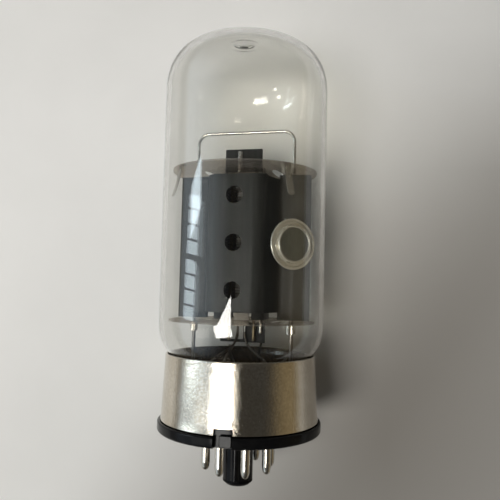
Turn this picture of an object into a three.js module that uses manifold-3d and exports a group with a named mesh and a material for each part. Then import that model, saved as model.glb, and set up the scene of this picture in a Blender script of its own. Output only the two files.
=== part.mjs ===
// Large octal-base beam power valve: glass envelope, metal-sleeved base and the complete electrode cage.
// Units are millimetres, +Z is up. The origin is the centre of the locating plug's flat end, and the plug's
// key points to -Y. Heights below are measured from the wafer's underside, the seat on the socket.
import * as THREE from 'three';
import { mergeVertices } from 'three/addons/utils/BufferGeometryUtils.js';
import Module from 'manifold-3d';

const wasm = await Module();
wasm.setup();

// ---------------------------------------------------------------- driving dimensions
const GAP = 0.3; // clearance kept between touching pieces

// Octal base.
const PLUG_LENGTH = 14.2;
const PLUG_RADIUS = 3.93;
const PLUG_BORE_RADIUS = 2.8;
const PLUG_FLOOR = 2.2;
const PLUG_CHAMFER = 0.9;
const KEY_WIDTH = 2.3;
const KEY_REACH = 4.95;
const KEY_LENGTH = 12.9;
const PIN_CIRCLE_RADIUS = 8.725;
const PIN_RADIUS = 1.18;
const PIN_BORE_RADIUS = 0.85;
const PIN_LENGTH = 10.3;
const PIN_NUMBERS = [1, 2, 3, 4, 5, 7, 8];
const WAFER_RADIUS = 21.6;
const WAFER_THICKNESS = 2.7;
const SPIGOT_TOP = 6.2;
const SPIGOT_INNER_RADIUS = 18.2;
const SPIGOT_OUTER_RADIUS = 19.9;
const TAB_LEFT = -0.85;
const TAB_RIGHT = 2.1;
const TAB_REACH = 20.9;
const SLOT_FLOOR = 19.95;
const TAB_BOTTOM = 0.35;
const TAB_TOP = 3.0;

// Metal sleeve.
const SLEEVE_BOTTOM = WAFER_THICKNESS + GAP;
const SLEEVE_TOP = 19.9;
const SLEEVE_BOTTOM_RADIUS = 20.7;
const SLEEVE_TOP_RADIUS = 19.95;
const SLEEVE_WALL = 0.35;
const SLEEVE_MOUTH_RADIUS = 19.35;
const NOTCH_WIDTH = 4.6;
const NOTCH_TOP = 4.5;

// Glass.
const GLASS_RADIUS = 22.0;
const GLASS_WALL = 1.2;
const SHOULDER_HEIGHT = 89.4;
const DOME_TOP = 104.8;
const DOME_POWER_Z = 2.45;
const DOME_POWER_R = 3.3;
const NECK_RADIUS = 18.6;
const NECK_BOTTOM = 12.0;
const STEM_RADIUS = 16.9;
const STEM_BOTTOM = 12.0;
const STEM_TOP = 14.4;
const EXHAUST_RADIUS = 2.2;
const EXHAUST_WALL = 0.6;
const EXHAUST_TIP = -8.5;

// Mica discs.
const MICA_RADIUS = 19.54;
const MICA_THICKNESS = 0.4;
const TOP_MICA = 68.06;
const BOTTOM_MICA = 28.5;
const MICA_SIDE_SLOT_X = 9.2;
const MICA_SIDE_SLOT_WIDTH = 2.4;
const MICA_SIDE_SLOT_LENGTH = 12.4;

// Cage. Its front faces -Y, turned a little from the key.
const CAGE_TWIST = THREE.MathUtils.degToRad(-3.8);
const CAGE_BOTTOM = BOTTOM_MICA + MICA_THICKNESS / 2 + GAP;
const CAGE_TOP = TOP_MICA - MICA_THICKNESS / 2 - GAP;
const SHEET = 0.3;
const FIN_REACH = 18.15;
const FIN_ROOT = 10.1;
const FIN_OFFSET = 0.32;
const BOX_HALF_WIDTH = 5.4;
const BOX_SHOULDER_X = 7.2;
const BOX_SHOULDER_Y = 9.1;
const BOX_DEPTH = 10.6;
const BOX_BOTTOM = 31.0;
const BOX_TOP = 66.3;
const ANODE_HOLE_RADIUS = 2.2;
const ANODE_HOLE_HEIGHTS = [36.6, 48.7, 60.9];
const ROD_X = 13.5;
const ROD_RADIUS = 0.5;
const ROD_BOTTOM = 13.2;
const ROD_TOP = TOP_MICA + 1.2;
const CREASE_RADIUS = 1.0;
const HOOP_TOP = 79.7;
const HOOP_WIRE_RADIUS = 0.4;
const HOOP_CORNER = 2.6;
const COLLAR_BOTTOM = 25.4;
const COLLAR_TOP = 27.9;

// Electrodes inside the anode.
const CATHODE_HALF_WIDTH = 2.0;
const CATHODE_HALF_DEPTH = 0.7;
const CATHODE_WALL = 0.2;
const CATHODE_BOTTOM = 27.2;
const CATHODE_TOP = 68.9;
const HEATER_RADIUS = 0.2;
const HEATER_LEG_X = 0.9;
const HEATER_BOTTOM = 25.6;
const GRID_BOTTOM = 30.5;
const GRID_TOP = 66.0;
const GRID_ROD_RADIUS = 0.45;
const CONTROL_ROD_X = 3.4;
const CONTROL_HALF_WIDTH = 4.4;
const CONTROL_HALF_DEPTH = 1.6;
const SCREEN_ROD_X = 5.2;
const SCREEN_HALF_WIDTH = 6.2;
const SCREEN_HALF_DEPTH = 2.65;
const GRID_SHEET = 0.25;
const BEAM_PLATE_X = 6.7;
const BEAM_PLATE_Y = 4.0;
const BEAM_LIP_X = 3.7;
const BEAM_LIP_Y = 4.7;

// Radiators, getter, snubbers, leads.
const TOP_RADIATOR = { left: -5.25, right: 4.9, bottom: 68.6, top: 74.8, y: -1.15 };
const BOTTOM_RADIATOR = { left: -6.1, right: 6.3, bottom: 22.8, bar: 23.5, top: 28.0, split: 0.3, y: 1.0 };
const GETTER_CENTRE = new THREE.Vector3(14.16, -5.8, 48.67);
const GETTER_TURN = THREE.MathUtils.degToRad(43);
const GETTER_RADIUS = 6.6;
const SNUBBER_ANGLE = THREE.MathUtils.degToRad(47.7);
const SNUBBER_WIDTH = 0.9;
const SNUBBER_THICKNESS = 0.2;
const SNUBBER_BOTTOM = 60.0;
const SNUBBER_TOP_RADIUS = 18.5;
const SNUBBER_END_RADIUS = 20.2;
const LEAD_RADIUS = 0.3;
const LEAD_START = -5.0;

// ---------------------------------------------------------------- materials
const finish = (color, roughness, metalness) => new THREE.MeshStandardMaterial({ color, roughness, metalness });
const CLEAR_GLASS = new THREE.MeshStandardMaterial({
  color: 0xdfe4e4, roughness: 0.05, metalness: 0, transparent: true, opacity: 0.25,
});
const NICKEL = finish(0xb9b2a6, 0.35, 1);
const PIN_METAL = finish(0xb5ab98, 0.4, 1);
const PHENOLIC = finish(0x141414, 0.25, 0);
const CEMENT = finish(0x4a3826, 0.9, 0);
const MICA = finish(0x8b7b68, 0.4, 0);
const CARBONISED = finish(0x34352f, 0.45, 0.3);
const GETTER_METAL = finish(0xbdb594, 0.3, 1);
const BRIGHT_WIRE = finish(0xc9c4b6, 0.3, 1);
const GOLD_WIRE = finish(0xb89a5e, 0.35, 1);
const CATHODE_COATING = finish(0xe6e2d8, 0.9, 0);
const DARK_WIRE = finish(0x4a4640, 0.5, 0.8);

// ---------------------------------------------------------------- solid helpers
// A three.js geometry as a manifold solid, for cuts and joins.
function solidOf(geometry) {
  const bare = geometry.clone();
  bare.deleteAttribute('normal');
  bare.deleteAttribute('uv');
  const merged = mergeVertices(bare, 1e-5);
  return new wasm.Manifold(new wasm.Mesh({
    numProp: 3,
    vertProperties: new Float32Array(merged.attributes.position.array),
    triVerts: new Uint32Array(merged.index.array),
  }));
}

// A manifold solid as a three.js geometry.
function geometryOf(solid) {
  const mesh = solid.getMesh();
  const geometry = new THREE.BufferGeometry();
  geometry.setAttribute('position', new THREE.BufferAttribute(new Float32Array(mesh.vertProperties), 3));
  geometry.setIndex(new THREE.BufferAttribute(new Uint32Array(mesh.triVerts), 1));
  geometry.computeVertexNormals();
  return geometry;
}

const cut = (geometry, ...tools) => geometryOf(
  tools.reduce((solid, tool) => solid.subtract(solidOf(tool)), solidOf(geometry)));
const join = (geometry, ...others) => geometryOf(
  others.reduce((solid, other) => solid.add(solidOf(other)), solidOf(geometry)));

// An upright cylinder from one height to another.
function post(radius, bottom, top, x = 0, y = 0, sides = 16) {
  const geometry = new THREE.CylinderGeometry(radius, radius, top - bottom, sides);
  geometry.rotateX(Math.PI / 2);
  geometry.translate(x, y, (bottom + top) / 2);
  return geometry;
}

// A box between two corners.
function block(x0, x1, y0, y1, z0, z1) {
  const geometry = new THREE.BoxGeometry(x1 - x0, y1 - y0, z1 - z0);
  geometry.translate((x0 + x1) / 2, (y0 + y1) / 2, (z0 + z1) / 2);
  return geometry;
}

// A turned solid about Z from a profile of [radius, height] points.
function turned(profile, sides) {
  const geometry = new THREE.LatheGeometry(profile.map(([r, z]) => new THREE.Vector2(r, z)), sides);
  geometry.rotateX(Math.PI / 2);
  return geometry;
}

// A turned tube whose profile closes on itself.
const turnedTube = (profile, sides) => turned([...profile, profile[0]], sides);

// A flat outline raised from one height to another.
function raised(shape, bottom, top, curveSegments = 6) {
  const geometry = new THREE.ExtrudeGeometry(shape, { depth: top - bottom, bevelEnabled: false, curveSegments });
  geometry.translate(0, 0, bottom);
  return geometry;
}

// The outline of a bent sheet that follows a centre line of [x, y] points, with mitred corners.
function sheetOutline(points, thickness) {
  const line = points.map(([x, y]) => new THREE.Vector2(x, y));
  const side = (sign) => line.map((point, i) => {
    const before = line[Math.max(i - 1, 0)];
    const after = line[Math.min(i + 1, line.length - 1)];
    const into = point.clone().sub(i > 0 ? before : after).multiplyScalar(i > 0 ? 1 : -1).normalize();
    const out = after.clone().sub(i < line.length - 1 ? point : before).normalize();
    const bisector = into.clone().add(out).normalize();
    const normal = new THREE.Vector2(-bisector.y, bisector.x);
    const stretch = 1 / Math.max(0.4, bisector.dot(out));
    return point.clone().addScaledVector(normal, (sign * thickness * stretch) / 2);
  });
  return new THREE.Shape([...side(-1), ...side(1).reverse()]);
}

// A round wire along a curve.
function wire(curve, radius, steps, sides = 8) {
  const section = new THREE.Shape();
  for (let i = 0; i < sides; i += 1) {
    const angle = (i / sides) * 2 * Math.PI;
    const x = radius * Math.cos(angle);
    const y = radius * Math.sin(angle);
    if (i === 0) section.moveTo(x, y);
    else section.lineTo(x, y);
  }
  return new THREE.ExtrudeGeometry(section, { steps, extrudePath: curve, bevelEnabled: false });
}

// An oval tube around Z, given its outer half axes.
function ovalTube(halfWidth, halfDepth, wall, bottom, top, segments = 12) {
  const shape = new THREE.Shape();
  shape.absellipse(0, 0, halfWidth, halfDepth, 0, 2 * Math.PI);
  const hole = new THREE.Path();
  hole.absellipse(0, 0, halfWidth - wall, halfDepth - wall, 0, 2 * Math.PI, true);
  shape.holes.push(hole);
  return raised(shape, bottom, top, segments);
}

// ---------------------------------------------------------------- assembly groups
const tube = new THREE.Group();
tube.position.z = PLUG_LENGTH;
const cage = new THREE.Group();
cage.rotation.z = CAGE_TWIST;
tube.add(cage);

function place(group, name, geometry, material) {
  const mesh = new THREE.Mesh(geometry, material);
  mesh.name = name;
  group.add(mesh);
}

const upAxis = new THREE.Vector3(0, 0, 1);
// A point of the turned cage, in the frame of the base.
const fromCage = (x, y, z) => new THREE.Vector3(x, y, z).applyAxisAngle(upAxis, CAGE_TWIST);

// Pin k stands 22.5 degrees past the key and 45 degrees after the pin before it.
function pinPlace(number) {
  const angle = THREE.MathUtils.degToRad(22.5 + 45 * (number - 1));
  return [PIN_CIRCLE_RADIUS * Math.sin(angle), -PIN_CIRCLE_RADIUS * Math.cos(angle)];
}

// ---------------------------------------------------------------- envelope
// The dome's radius at a height, between a circle and a flat-topped curve.
function domePoint(step, steps, inset) {
  const rise = Math.sin((step / steps) * (Math.PI / 2));
  const height = SHOULDER_HEIGHT + (DOME_TOP - SHOULDER_HEIGHT - inset) * rise;
  const radius = (GLASS_RADIUS - inset) * Math.max(0, 1 - rise ** DOME_POWER_Z) ** (1 / DOME_POWER_R);
  return [radius, height];
}

function glassBulb() {
  const neckCurve = (inset) => [
    [NECK_RADIUS - inset, NECK_BOTTOM], [NECK_RADIUS - inset, 18.2], [19.0 - inset, 19.9],
    [19.8 - inset, 20.8], [20.7 - inset, 22.0], [21.4 - inset, 23.6], [21.85 - inset, 25.6],
    [GLASS_RADIUS - inset, 28.5],
  ];
  const domeSteps = 10;
  const dome = (inset) => Array.from({ length: domeSteps + 1 }, (_, i) => domePoint(i, domeSteps, inset));
  const outside = [...neckCurve(0), ...dome(0)];
  const inside = [...neckCurve(GLASS_WALL), ...dome(GLASS_WALL)];
  outside[outside.length - 1][0] = 0;
  inside[inside.length - 1][0] = 0;
  const profile = [...inside.reverse(), ...outside];
  return turned(profile, 40);
}

const railPlaces = [-ROD_X, ROD_X].map((x) => fromCage(x, 0, 0));
const leadPins = PIN_NUMBERS.filter((number) => number !== 1);

function glassStem() {
  const disc = post(STEM_RADIUS, STEM_BOTTOM, STEM_TOP, 0, 0, 32);
  const leadHoles = leadPins.map((number) => {
    const [x, y] = pinPlace(number);
    return post(LEAD_RADIUS + GAP, STEM_BOTTOM - 1, STEM_TOP + 1, x, y, 8);
  });
  const rodSockets = railPlaces.map((p) => post(ROD_RADIUS + GAP, ROD_BOTTOM - GAP, STEM_TOP + 1, p.x, p.y, 10));
  return cut(disc, ...leadHoles, ...rodSockets);
}

function exhaustTube() {
  const top = STEM_BOTTOM - GAP;
  const bore = EXHAUST_RADIUS - EXHAUST_WALL;
  return turned([
    [0, EXHAUST_TIP], [0.9, EXHAUST_TIP + 0.4], [1.7, EXHAUST_TIP + 1.8], [EXHAUST_RADIUS, EXHAUST_TIP + 4],
    [EXHAUST_RADIUS, top], [bore, top], [bore, EXHAUST_TIP + 4.2], [0, EXHAUST_TIP + 2.2],
  ], 16);
}

place(tube, 'glass_bulb', glassBulb(), CLEAR_GLASS);
place(tube, 'glass_stem', glassStem(), CLEAR_GLASS);
place(tube, 'exhaust_tube', exhaustTube(), CLEAR_GLASS);

// ---------------------------------------------------------------- base
function baseSleeve() {
  const wall = turnedTube([
    [SLEEVE_BOTTOM_RADIUS - SLEEVE_WALL, SLEEVE_BOTTOM], [SLEEVE_BOTTOM_RADIUS, SLEEVE_BOTTOM],
    [SLEEVE_TOP_RADIUS, SLEEVE_TOP - 0.6], [SLEEVE_TOP_RADIUS - 0.2, SLEEVE_TOP - 0.15],
    [SLEEVE_TOP_RADIUS - 0.45, SLEEVE_TOP], [SLEEVE_MOUTH_RADIUS, SLEEVE_TOP - 0.1],
    [SLEEVE_MOUTH_RADIUS, SLEEVE_TOP - 0.5], [SLEEVE_TOP_RADIUS - SLEEVE_WALL, SLEEVE_TOP - 0.8],
  ], 40);
  const notch = block(-NOTCH_WIDTH / 2, NOTCH_WIDTH / 2, -WAFER_RADIUS, -15, 0, NOTCH_TOP);
  return cut(wall, notch);
}

function baseWafer() {
  const plugBottom = -PLUG_LENGTH;
  const body = turned([
    [0, plugBottom], [PLUG_RADIUS - PLUG_CHAMFER, plugBottom], [PLUG_RADIUS, plugBottom + PLUG_CHAMFER],
    [PLUG_RADIUS, 0], [WAFER_RADIUS - 0.3, 0], [WAFER_RADIUS, 0.3],
    [WAFER_RADIUS, WAFER_THICKNESS - 0.3], [WAFER_RADIUS - 0.3, WAFER_THICKNESS],
    [SPIGOT_OUTER_RADIUS, WAFER_THICKNESS], [SPIGOT_OUTER_RADIUS, SPIGOT_TOP],
    [SPIGOT_INNER_RADIUS, SPIGOT_TOP], [SPIGOT_INNER_RADIUS, WAFER_THICKNESS],
    [PLUG_BORE_RADIUS, WAFER_THICKNESS], [PLUG_BORE_RADIUS, plugBottom + PLUG_FLOOR], [0, plugBottom + PLUG_FLOOR],
  ], 40);
  const key = block(-KEY_WIDTH / 2, KEY_WIDTH / 2, -KEY_REACH, -PLUG_RADIUS + 0.6, -KEY_LENGTH, 0.5);
  const slot = block(-NOTCH_WIDTH / 2, NOTCH_WIDTH / 2, -WAFER_RADIUS - 1, -SLOT_FLOOR, -1, WAFER_THICKNESS + 1);
  const tab = block(TAB_LEFT, TAB_RIGHT, -TAB_REACH, -19, TAB_BOTTOM, TAB_TOP);
  const pinHoles = PIN_NUMBERS.map((number) => {
    const [x, y] = pinPlace(number);
    return post(PIN_RADIUS + GAP, -1, WAFER_THICKNESS + 1, x, y, 12);
  });
  return cut(join(cut(body, slot), key, tab), ...pinHoles);
}

// The cement fills the ring between the neck and the sleeve.
const baseCement = () => turnedTube([
  [NECK_RADIUS + GAP, NECK_BOTTOM + 0.5], [SLEEVE_TOP_RADIUS - SLEEVE_WALL - GAP, NECK_BOTTOM + 0.5],
  [SLEEVE_TOP_RADIUS - SLEEVE_WALL - GAP, 18.0], [NECK_RADIUS + GAP, 18.0],
], 32);

function pin() {
  const headBottom = WAFER_THICKNESS + GAP;
  const headTop = headBottom + 1.2;
  return turned([
    [0, -PIN_LENGTH], [0.6, -PIN_LENGTH + 0.1], [0.95, -PIN_LENGTH + 0.5], [PIN_RADIUS, -PIN_LENGTH + 1.3],
    [PIN_RADIUS, headBottom], [PIN_RADIUS + 0.5, headBottom], [PIN_RADIUS + 0.5, headTop],
    [PIN_BORE_RADIUS, headTop], [PIN_BORE_RADIUS, -PIN_LENGTH + 2.2], [0, -PIN_LENGTH + 1.8],
  ], 12);
}

place(tube, 'base_sleeve', baseSleeve(), NICKEL);
place(tube, 'base_wafer', baseWafer(), PHENOLIC);
place(tube, 'base_cement', baseCement(), CEMENT);
for (const number of PIN_NUMBERS) {
  const [x, y] = pinPlace(number);
  place(tube, `pin_${number}`, pin().translate(x, y, 0), PIN_METAL);
}

// ---------------------------------------------------------------- micas
// The openings that both discs share: rods, grid rods, cathode and the slots beside the anode box.
function micaCutters(bottom, top) {
  const cutters = [];
  for (const sign of [-1, 1]) {
    cutters.push(post(ROD_RADIUS + GAP, bottom, top, sign * ROD_X, 0, 10));
    cutters.push(post(GRID_ROD_RADIUS + GAP, bottom, top, sign * CONTROL_ROD_X, 0, 8));
    cutters.push(post(GRID_ROD_RADIUS + GAP, bottom, top, sign * SCREEN_ROD_X, 0, 8));
    const slotX = sign * MICA_SIDE_SLOT_X;
    const slot = new THREE.Shape();
    slot.absellipse(slotX, 0, MICA_SIDE_SLOT_WIDTH / 2, MICA_SIDE_SLOT_LENGTH / 2, 0, 2 * Math.PI);
    cutters.push(raised(slot, bottom, top, 5));
  }
  const cathode = new THREE.Shape();
  cathode.absellipse(0, 0, CATHODE_HALF_WIDTH + GAP, CATHODE_HALF_DEPTH + GAP, 0, 2 * Math.PI);
  cutters.push(raised(cathode, bottom, top, 5));
  return cutters;
}

const snubberAngles = {
  snubber_front_right: SNUBBER_ANGLE,
  snubber_back_right: Math.PI - SNUBBER_ANGLE,
  snubber_back_left: Math.PI + SNUBBER_ANGLE,
  snubber_front_left: -SNUBBER_ANGLE,
};

function micaDisc(height, isTop) {
  const bottom = height - MICA_THICKNESS / 2;
  const top = height + MICA_THICKNESS / 2;
  const disc = post(MICA_RADIUS, bottom, top, 0, 0, 40);
  const cutters = micaCutters(bottom - 1, top + 1);
  if (isTop) {
    for (const angle of Object.values(snubberAngles)) {
      const reach = SNUBBER_TOP_RADIUS + 0.1;
      const slot = block(-SNUBBER_WIDTH / 2 - GAP, SNUBBER_WIDTH / 2 + GAP, -reach - 0.45, -reach + 0.45,
        bottom - 1, top + 1);
      cutters.push(slot.rotateZ(angle));
    }
  }
  return cut(disc, ...cutters);
}

place(cage, 'top_mica', micaDisc(TOP_MICA, true), MICA);
place(cage, 'bottom_mica', micaDisc(BOTTOM_MICA, false), MICA);

// ---------------------------------------------------------------- anode
// One half of the anode in plan, seen from above, for the half that faces -Y.
function anodeCentreLine() {
  const meet = Math.acos(FIN_OFFSET / CREASE_RADIUS);
  const creaseSteps = 6;
  const crease = Array.from({ length: creaseSteps + 1 }, (_, i) => {
    const angle = -Math.PI / 2 - meet + (2 * meet * i) / creaseSteps;
    return [CREASE_RADIUS * Math.cos(angle), CREASE_RADIUS * Math.sin(angle)];
  });
  const left = [
    [-FIN_REACH, -FIN_OFFSET], ...crease.map(([x, y]) => [x - ROD_X, y]), [-FIN_ROOT, -FIN_OFFSET],
    [-BOX_SHOULDER_X, -BOX_SHOULDER_Y], [-BOX_HALF_WIDTH, -BOX_DEPTH],
  ];
  const right = left.map(([x, y]) => [-x, y]).reverse();
  return [...left, ...right];
}

function anodeHalf() {
  const sheet = raised(sheetOutline(anodeCentreLine(), SHEET), CAGE_BOTTOM, CAGE_TOP);
  const reach = FIN_ROOT - 0.2;
  const windows = [
    block(-reach, reach, -BOX_DEPTH - 1, 0, CAGE_BOTTOM - 1, BOX_BOTTOM),
    block(-reach, reach, -BOX_DEPTH - 1, 0, BOX_TOP, CAGE_TOP + 1),
  ];
  const holes = ANODE_HOLE_HEIGHTS.map((height) => post(ANODE_HOLE_RADIUS, -1, 1, 0, 0, 18)
    .rotateX(Math.PI / 2).translate(0, -BOX_DEPTH, height));
  return cut(sheet, ...windows, ...holes);
}

place(cage, 'anode_front', anodeHalf(), CARBONISED);
place(cage, 'anode_back', anodeHalf().rotateZ(Math.PI), CARBONISED);

// ---------------------------------------------------------------- rods, collars and hoop
const collar = () => turnedTube([
  [ROD_RADIUS + GAP, COLLAR_BOTTOM], [ROD_RADIUS + GAP + 0.35, COLLAR_BOTTOM],
  [ROD_RADIUS + GAP + 0.35, COLLAR_TOP], [ROD_RADIUS + GAP, COLLAR_TOP],
], 14);

for (const [side, sign] of [['left', -1], ['right', 1]]) {
  const x = sign * ROD_X;
  place(cage, `support_rod_${side}`, post(ROD_RADIUS, ROD_BOTTOM, ROD_TOP, x, 0, 12), DARK_WIRE);
  place(cage, `rod_collar_${side}`, collar().translate(x, 0, 0), BRIGHT_WIRE);
}

// Two upright legs over the rods, joined by a straight bar with round corners.
function hoopPath() {
  const path = new THREE.CurvePath();
  const point = (x, z) => new THREE.Vector3(x, 0, z);
  const legBottom = ROD_TOP + GAP;
  const inner = ROD_X - HOOP_CORNER;
  const straightTop = HOOP_TOP - HOOP_CORNER;
  path.add(new THREE.LineCurve3(point(-ROD_X, legBottom), point(-ROD_X, straightTop)));
  path.add(new THREE.QuadraticBezierCurve3(
    point(-ROD_X, straightTop), point(-ROD_X, HOOP_TOP), point(-inner, HOOP_TOP)));
  path.add(new THREE.LineCurve3(point(-inner, HOOP_TOP), point(inner, HOOP_TOP)));
  path.add(new THREE.QuadraticBezierCurve3(
    point(inner, HOOP_TOP), point(ROD_X, HOOP_TOP), point(ROD_X, straightTop)));
  path.add(new THREE.LineCurve3(point(ROD_X, straightTop), point(ROD_X, legBottom)));
  return path;
}

place(cage, 'top_hoop', wire(hoopPath(), HOOP_WIRE_RADIUS, 36, 6), BRIGHT_WIRE);

// ---------------------------------------------------------------- electrodes
function beamPlate(sign) {
  const line = [
    [BEAM_LIP_X, -BEAM_LIP_Y], [BEAM_PLATE_X, -BEAM_PLATE_Y], [BEAM_PLATE_X, BEAM_PLATE_Y],
    [BEAM_LIP_X, BEAM_LIP_Y],
  ].map(([x, y]) => [sign * x, y]);
  return raised(sheetOutline(sign > 0 ? line : line.reverse(), SHEET), CAGE_BOTTOM, CAGE_TOP);
}

function heater() {
  const path = new THREE.CurvePath();
  const point = (x, z) => new THREE.Vector3(x, 0, z);
  const bend = GRID_TOP - 1;
  path.add(new THREE.LineCurve3(point(-HEATER_LEG_X, HEATER_BOTTOM), point(-HEATER_LEG_X, bend)));
  path.add(new THREE.CubicBezierCurve3(
    point(-HEATER_LEG_X, bend), point(-HEATER_LEG_X, bend + 1.2),
    point(HEATER_LEG_X, bend + 1.2), point(HEATER_LEG_X, bend)));
  path.add(new THREE.LineCurve3(point(HEATER_LEG_X, bend), point(HEATER_LEG_X, HEATER_BOTTOM)));
  return wire(path, HEATER_RADIUS, 60, 4);
}

place(cage, 'cathode_sleeve',
  ovalTube(CATHODE_HALF_WIDTH, CATHODE_HALF_DEPTH, CATHODE_WALL, CATHODE_BOTTOM, CATHODE_TOP, 10), CATHODE_COATING);
place(cage, 'cathode_top_tab', block(-1.5, -0.35, -2.05, -1.75, 68.6, 74.1), BRIGHT_WIRE);
place(cage, 'heater', heater(), CATHODE_COATING);
place(cage, 'control_grid_winding',
  ovalTube(CONTROL_HALF_WIDTH, CONTROL_HALF_DEPTH, GRID_SHEET, GRID_BOTTOM, GRID_TOP), GOLD_WIRE);
place(cage, 'screen_grid_winding',
  ovalTube(SCREEN_HALF_WIDTH, SCREEN_HALF_DEPTH, GRID_SHEET, GRID_BOTTOM, GRID_TOP), BRIGHT_WIRE);
for (const [side, sign] of [['left', -1], ['right', 1]]) {
  place(cage, `control_grid_rod_${side}`,
    post(GRID_ROD_RADIUS, 23.4, 73.8, sign * CONTROL_ROD_X, 0, 10), GOLD_WIRE);
  place(cage, `screen_grid_rod_${side}`,
    post(GRID_ROD_RADIUS, 25.4, 69.6, sign * SCREEN_ROD_X, 0, 10), BRIGHT_WIRE);
  place(cage, `beam_plate_${side}`, beamPlate(sign), CARBONISED);
}

// ---------------------------------------------------------------- radiators
function bottomRadiator() {
  const r = BOTTOM_RADIATOR;
  const outline = new THREE.Shape([
    new THREE.Vector2(r.left, r.bottom), new THREE.Vector2(r.right, r.bottom), new THREE.Vector2(r.right, r.top),
    new THREE.Vector2(r.split, r.top), new THREE.Vector2(r.split, r.bar), new THREE.Vector2(r.left, r.bar),
  ]);
  return raised(outline, 0, SHEET).rotateX(Math.PI / 2).translate(0, r.y + SHEET / 2, 0);
}

const topRadiator = () => block(
  TOP_RADIATOR.left, TOP_RADIATOR.right, TOP_RADIATOR.y - SHEET / 2, TOP_RADIATOR.y + SHEET / 2,
  TOP_RADIATOR.bottom, TOP_RADIATOR.top);

place(cage, 'top_radiator', topRadiator(), CARBONISED);
place(cage, 'bottom_radiator', bottomRadiator(), CARBONISED);

// ---------------------------------------------------------------- getter
// A stamped pan: flat rim, groove, raised ring and a sunken centre. Its open side faces up before it is turned.
function getterPan() {
  const pan = turned([
    [0, 1.0], [4.9, 1.0], [5.15, 0], [GETTER_RADIUS, 0], [GETTER_RADIUS, 0.3], [5.6, 0.3], [5.4, 1.4],
    [5.2, 1.6], [4.4, 1.6], [4.15, 1.35], [0, 1.35],
  ], 28);
  pan.rotateX(Math.PI / 2);
  pan.rotateZ(GETTER_TURN);
  return pan.translate(GETTER_CENTRE.x, GETTER_CENTRE.y, GETTER_CENTRE.z);
}

function getterHolder() {
  const facing = new THREE.Vector2(Math.sin(GETTER_TURN), -Math.cos(GETTER_TURN));
  const along = new THREE.Vector2(Math.cos(GETTER_TURN), Math.sin(GETTER_TURN));
  const centre = new THREE.Vector2(GETTER_CENTRE.x, GETTER_CENTRE.y);
  const back = centre.clone().addScaledVector(facing, 0.45);
  const pad = back.clone().addScaledVector(along, -2.4);
  const finFace = -FIN_OFFSET - SHEET / 2 - GAP - SHEET / 2;
  const line = [[back.x, back.y], [pad.x, pad.y], [10.9, finFace], [12.2, finFace]];
  const half = 1.5;
  return raised(sheetOutline(line, SHEET), GETTER_CENTRE.z - half, GETTER_CENTRE.z + half);
}

place(cage, 'getter_pan', getterPan(), GETTER_METAL);
place(cage, 'getter_holder', getterHolder(), BRIGHT_WIRE);

// ---------------------------------------------------------------- snubber springs
// Each spring hangs through its slot in the top mica, hooked over the disc, and leans out to the glass.
function snubber(angle) {
  const hook = TOP_MICA + MICA_THICKNESS / 2 + GAP + SNUBBER_THICKNESS / 2;
  const line = [
    [SNUBBER_TOP_RADIUS - 1.4, hook], [SNUBBER_TOP_RADIUS, hook], [SNUBBER_TOP_RADIUS + 0.25, TOP_MICA - 1.2],
    [SNUBBER_END_RADIUS, SNUBBER_BOTTOM],
  ];
  const strip = raised(sheetOutline(line, SNUBBER_THICKNESS), -SNUBBER_WIDTH / 2, SNUBBER_WIDTH / 2);
  strip.rotateX(Math.PI / 2);
  return strip.rotateZ(angle - Math.PI / 2);
}

for (const [name, angle] of Object.entries(snubberAngles)) {
  place(cage, name, snubber(angle), BRIGHT_WIRE);
}

// ---------------------------------------------------------------- wiring
// A lead rises straight out of its pin, through the stem, then bends over to its electrode.
function lead(number, end) {
  const [x, y] = pinPlace(number);
  const path = new THREE.CurvePath();
  const stemTop = new THREE.Vector3(x, y, STEM_TOP + 1);
  path.add(new THREE.LineCurve3(new THREE.Vector3(x, y, LEAD_START), stemTop));
  const rise = (end.z - stemTop.z) * 0.55;
  path.add(new THREE.CubicBezierCurve3(
    stemTop, stemTop.clone().add(new THREE.Vector3(0, 0, rise)),
    end.clone().sub(new THREE.Vector3(0, 0, rise)), end));
  return wire(path, LEAD_RADIUS, 20, 5);
}

// The wire from pin 1 to the metal sleeve stays inside the base.
function shellLead() {
  const [x, y] = pinPlace(1);
  const reach = (SPIGOT_OUTER_RADIUS - LEAD_RADIUS) / PIN_CIRCLE_RADIUS;
  const path = new THREE.CurvePath();
  const bend = new THREE.Vector3(x, y, 6);
  const foot = new THREE.Vector3(x * reach, y * reach, 8.5);
  path.add(new THREE.LineCurve3(new THREE.Vector3(x, y, LEAD_START), bend));
  path.add(new THREE.QuadraticBezierCurve3(bend, new THREE.Vector3(x, y, 8.5), foot));
  return wire(path, LEAD_RADIUS, 20, 5);
}

place(tube, 'shell_lead_1', shellLead(), DARK_WIRE);
place(tube, 'heater_lead_2', lead(2, fromCage(HEATER_LEG_X, 0, HEATER_BOTTOM - GAP)), DARK_WIRE);
place(tube, 'anode_lead_3', lead(3, fromCage(ROD_X - 1.2, 0.6, 20)), DARK_WIRE);
place(tube, 'screen_lead_4', lead(4, fromCage(SCREEN_ROD_X, 1.7, 25)), DARK_WIRE);
place(tube, 'grid_lead_5', lead(5, fromCage(-CONTROL_ROD_X, 1.1, 22)), DARK_WIRE);
place(tube, 'heater_lead_7', lead(7, fromCage(-HEATER_LEG_X, 0, HEATER_BOTTOM - GAP)), DARK_WIRE);
place(tube, 'cathode_lead_8', lead(8, fromCage(-0.6, -1.4, 27)), DARK_WIRE);

const part = new THREE.Group();
part.add(tube);
export default part;
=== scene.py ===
"""Looks of a large octal-base power valve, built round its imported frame.

Every piece is a surface worked out with numpy on a grid, or a flat pattern that is bent into shape, and it
stands where the frame's node lies. Lengths are in metres; fields are written as millimetres times MM. The
cage's own places, ROD_X and the like, are plain millimetres, because cage_points takes millimetres.
"""

from __future__ import annotations

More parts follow.
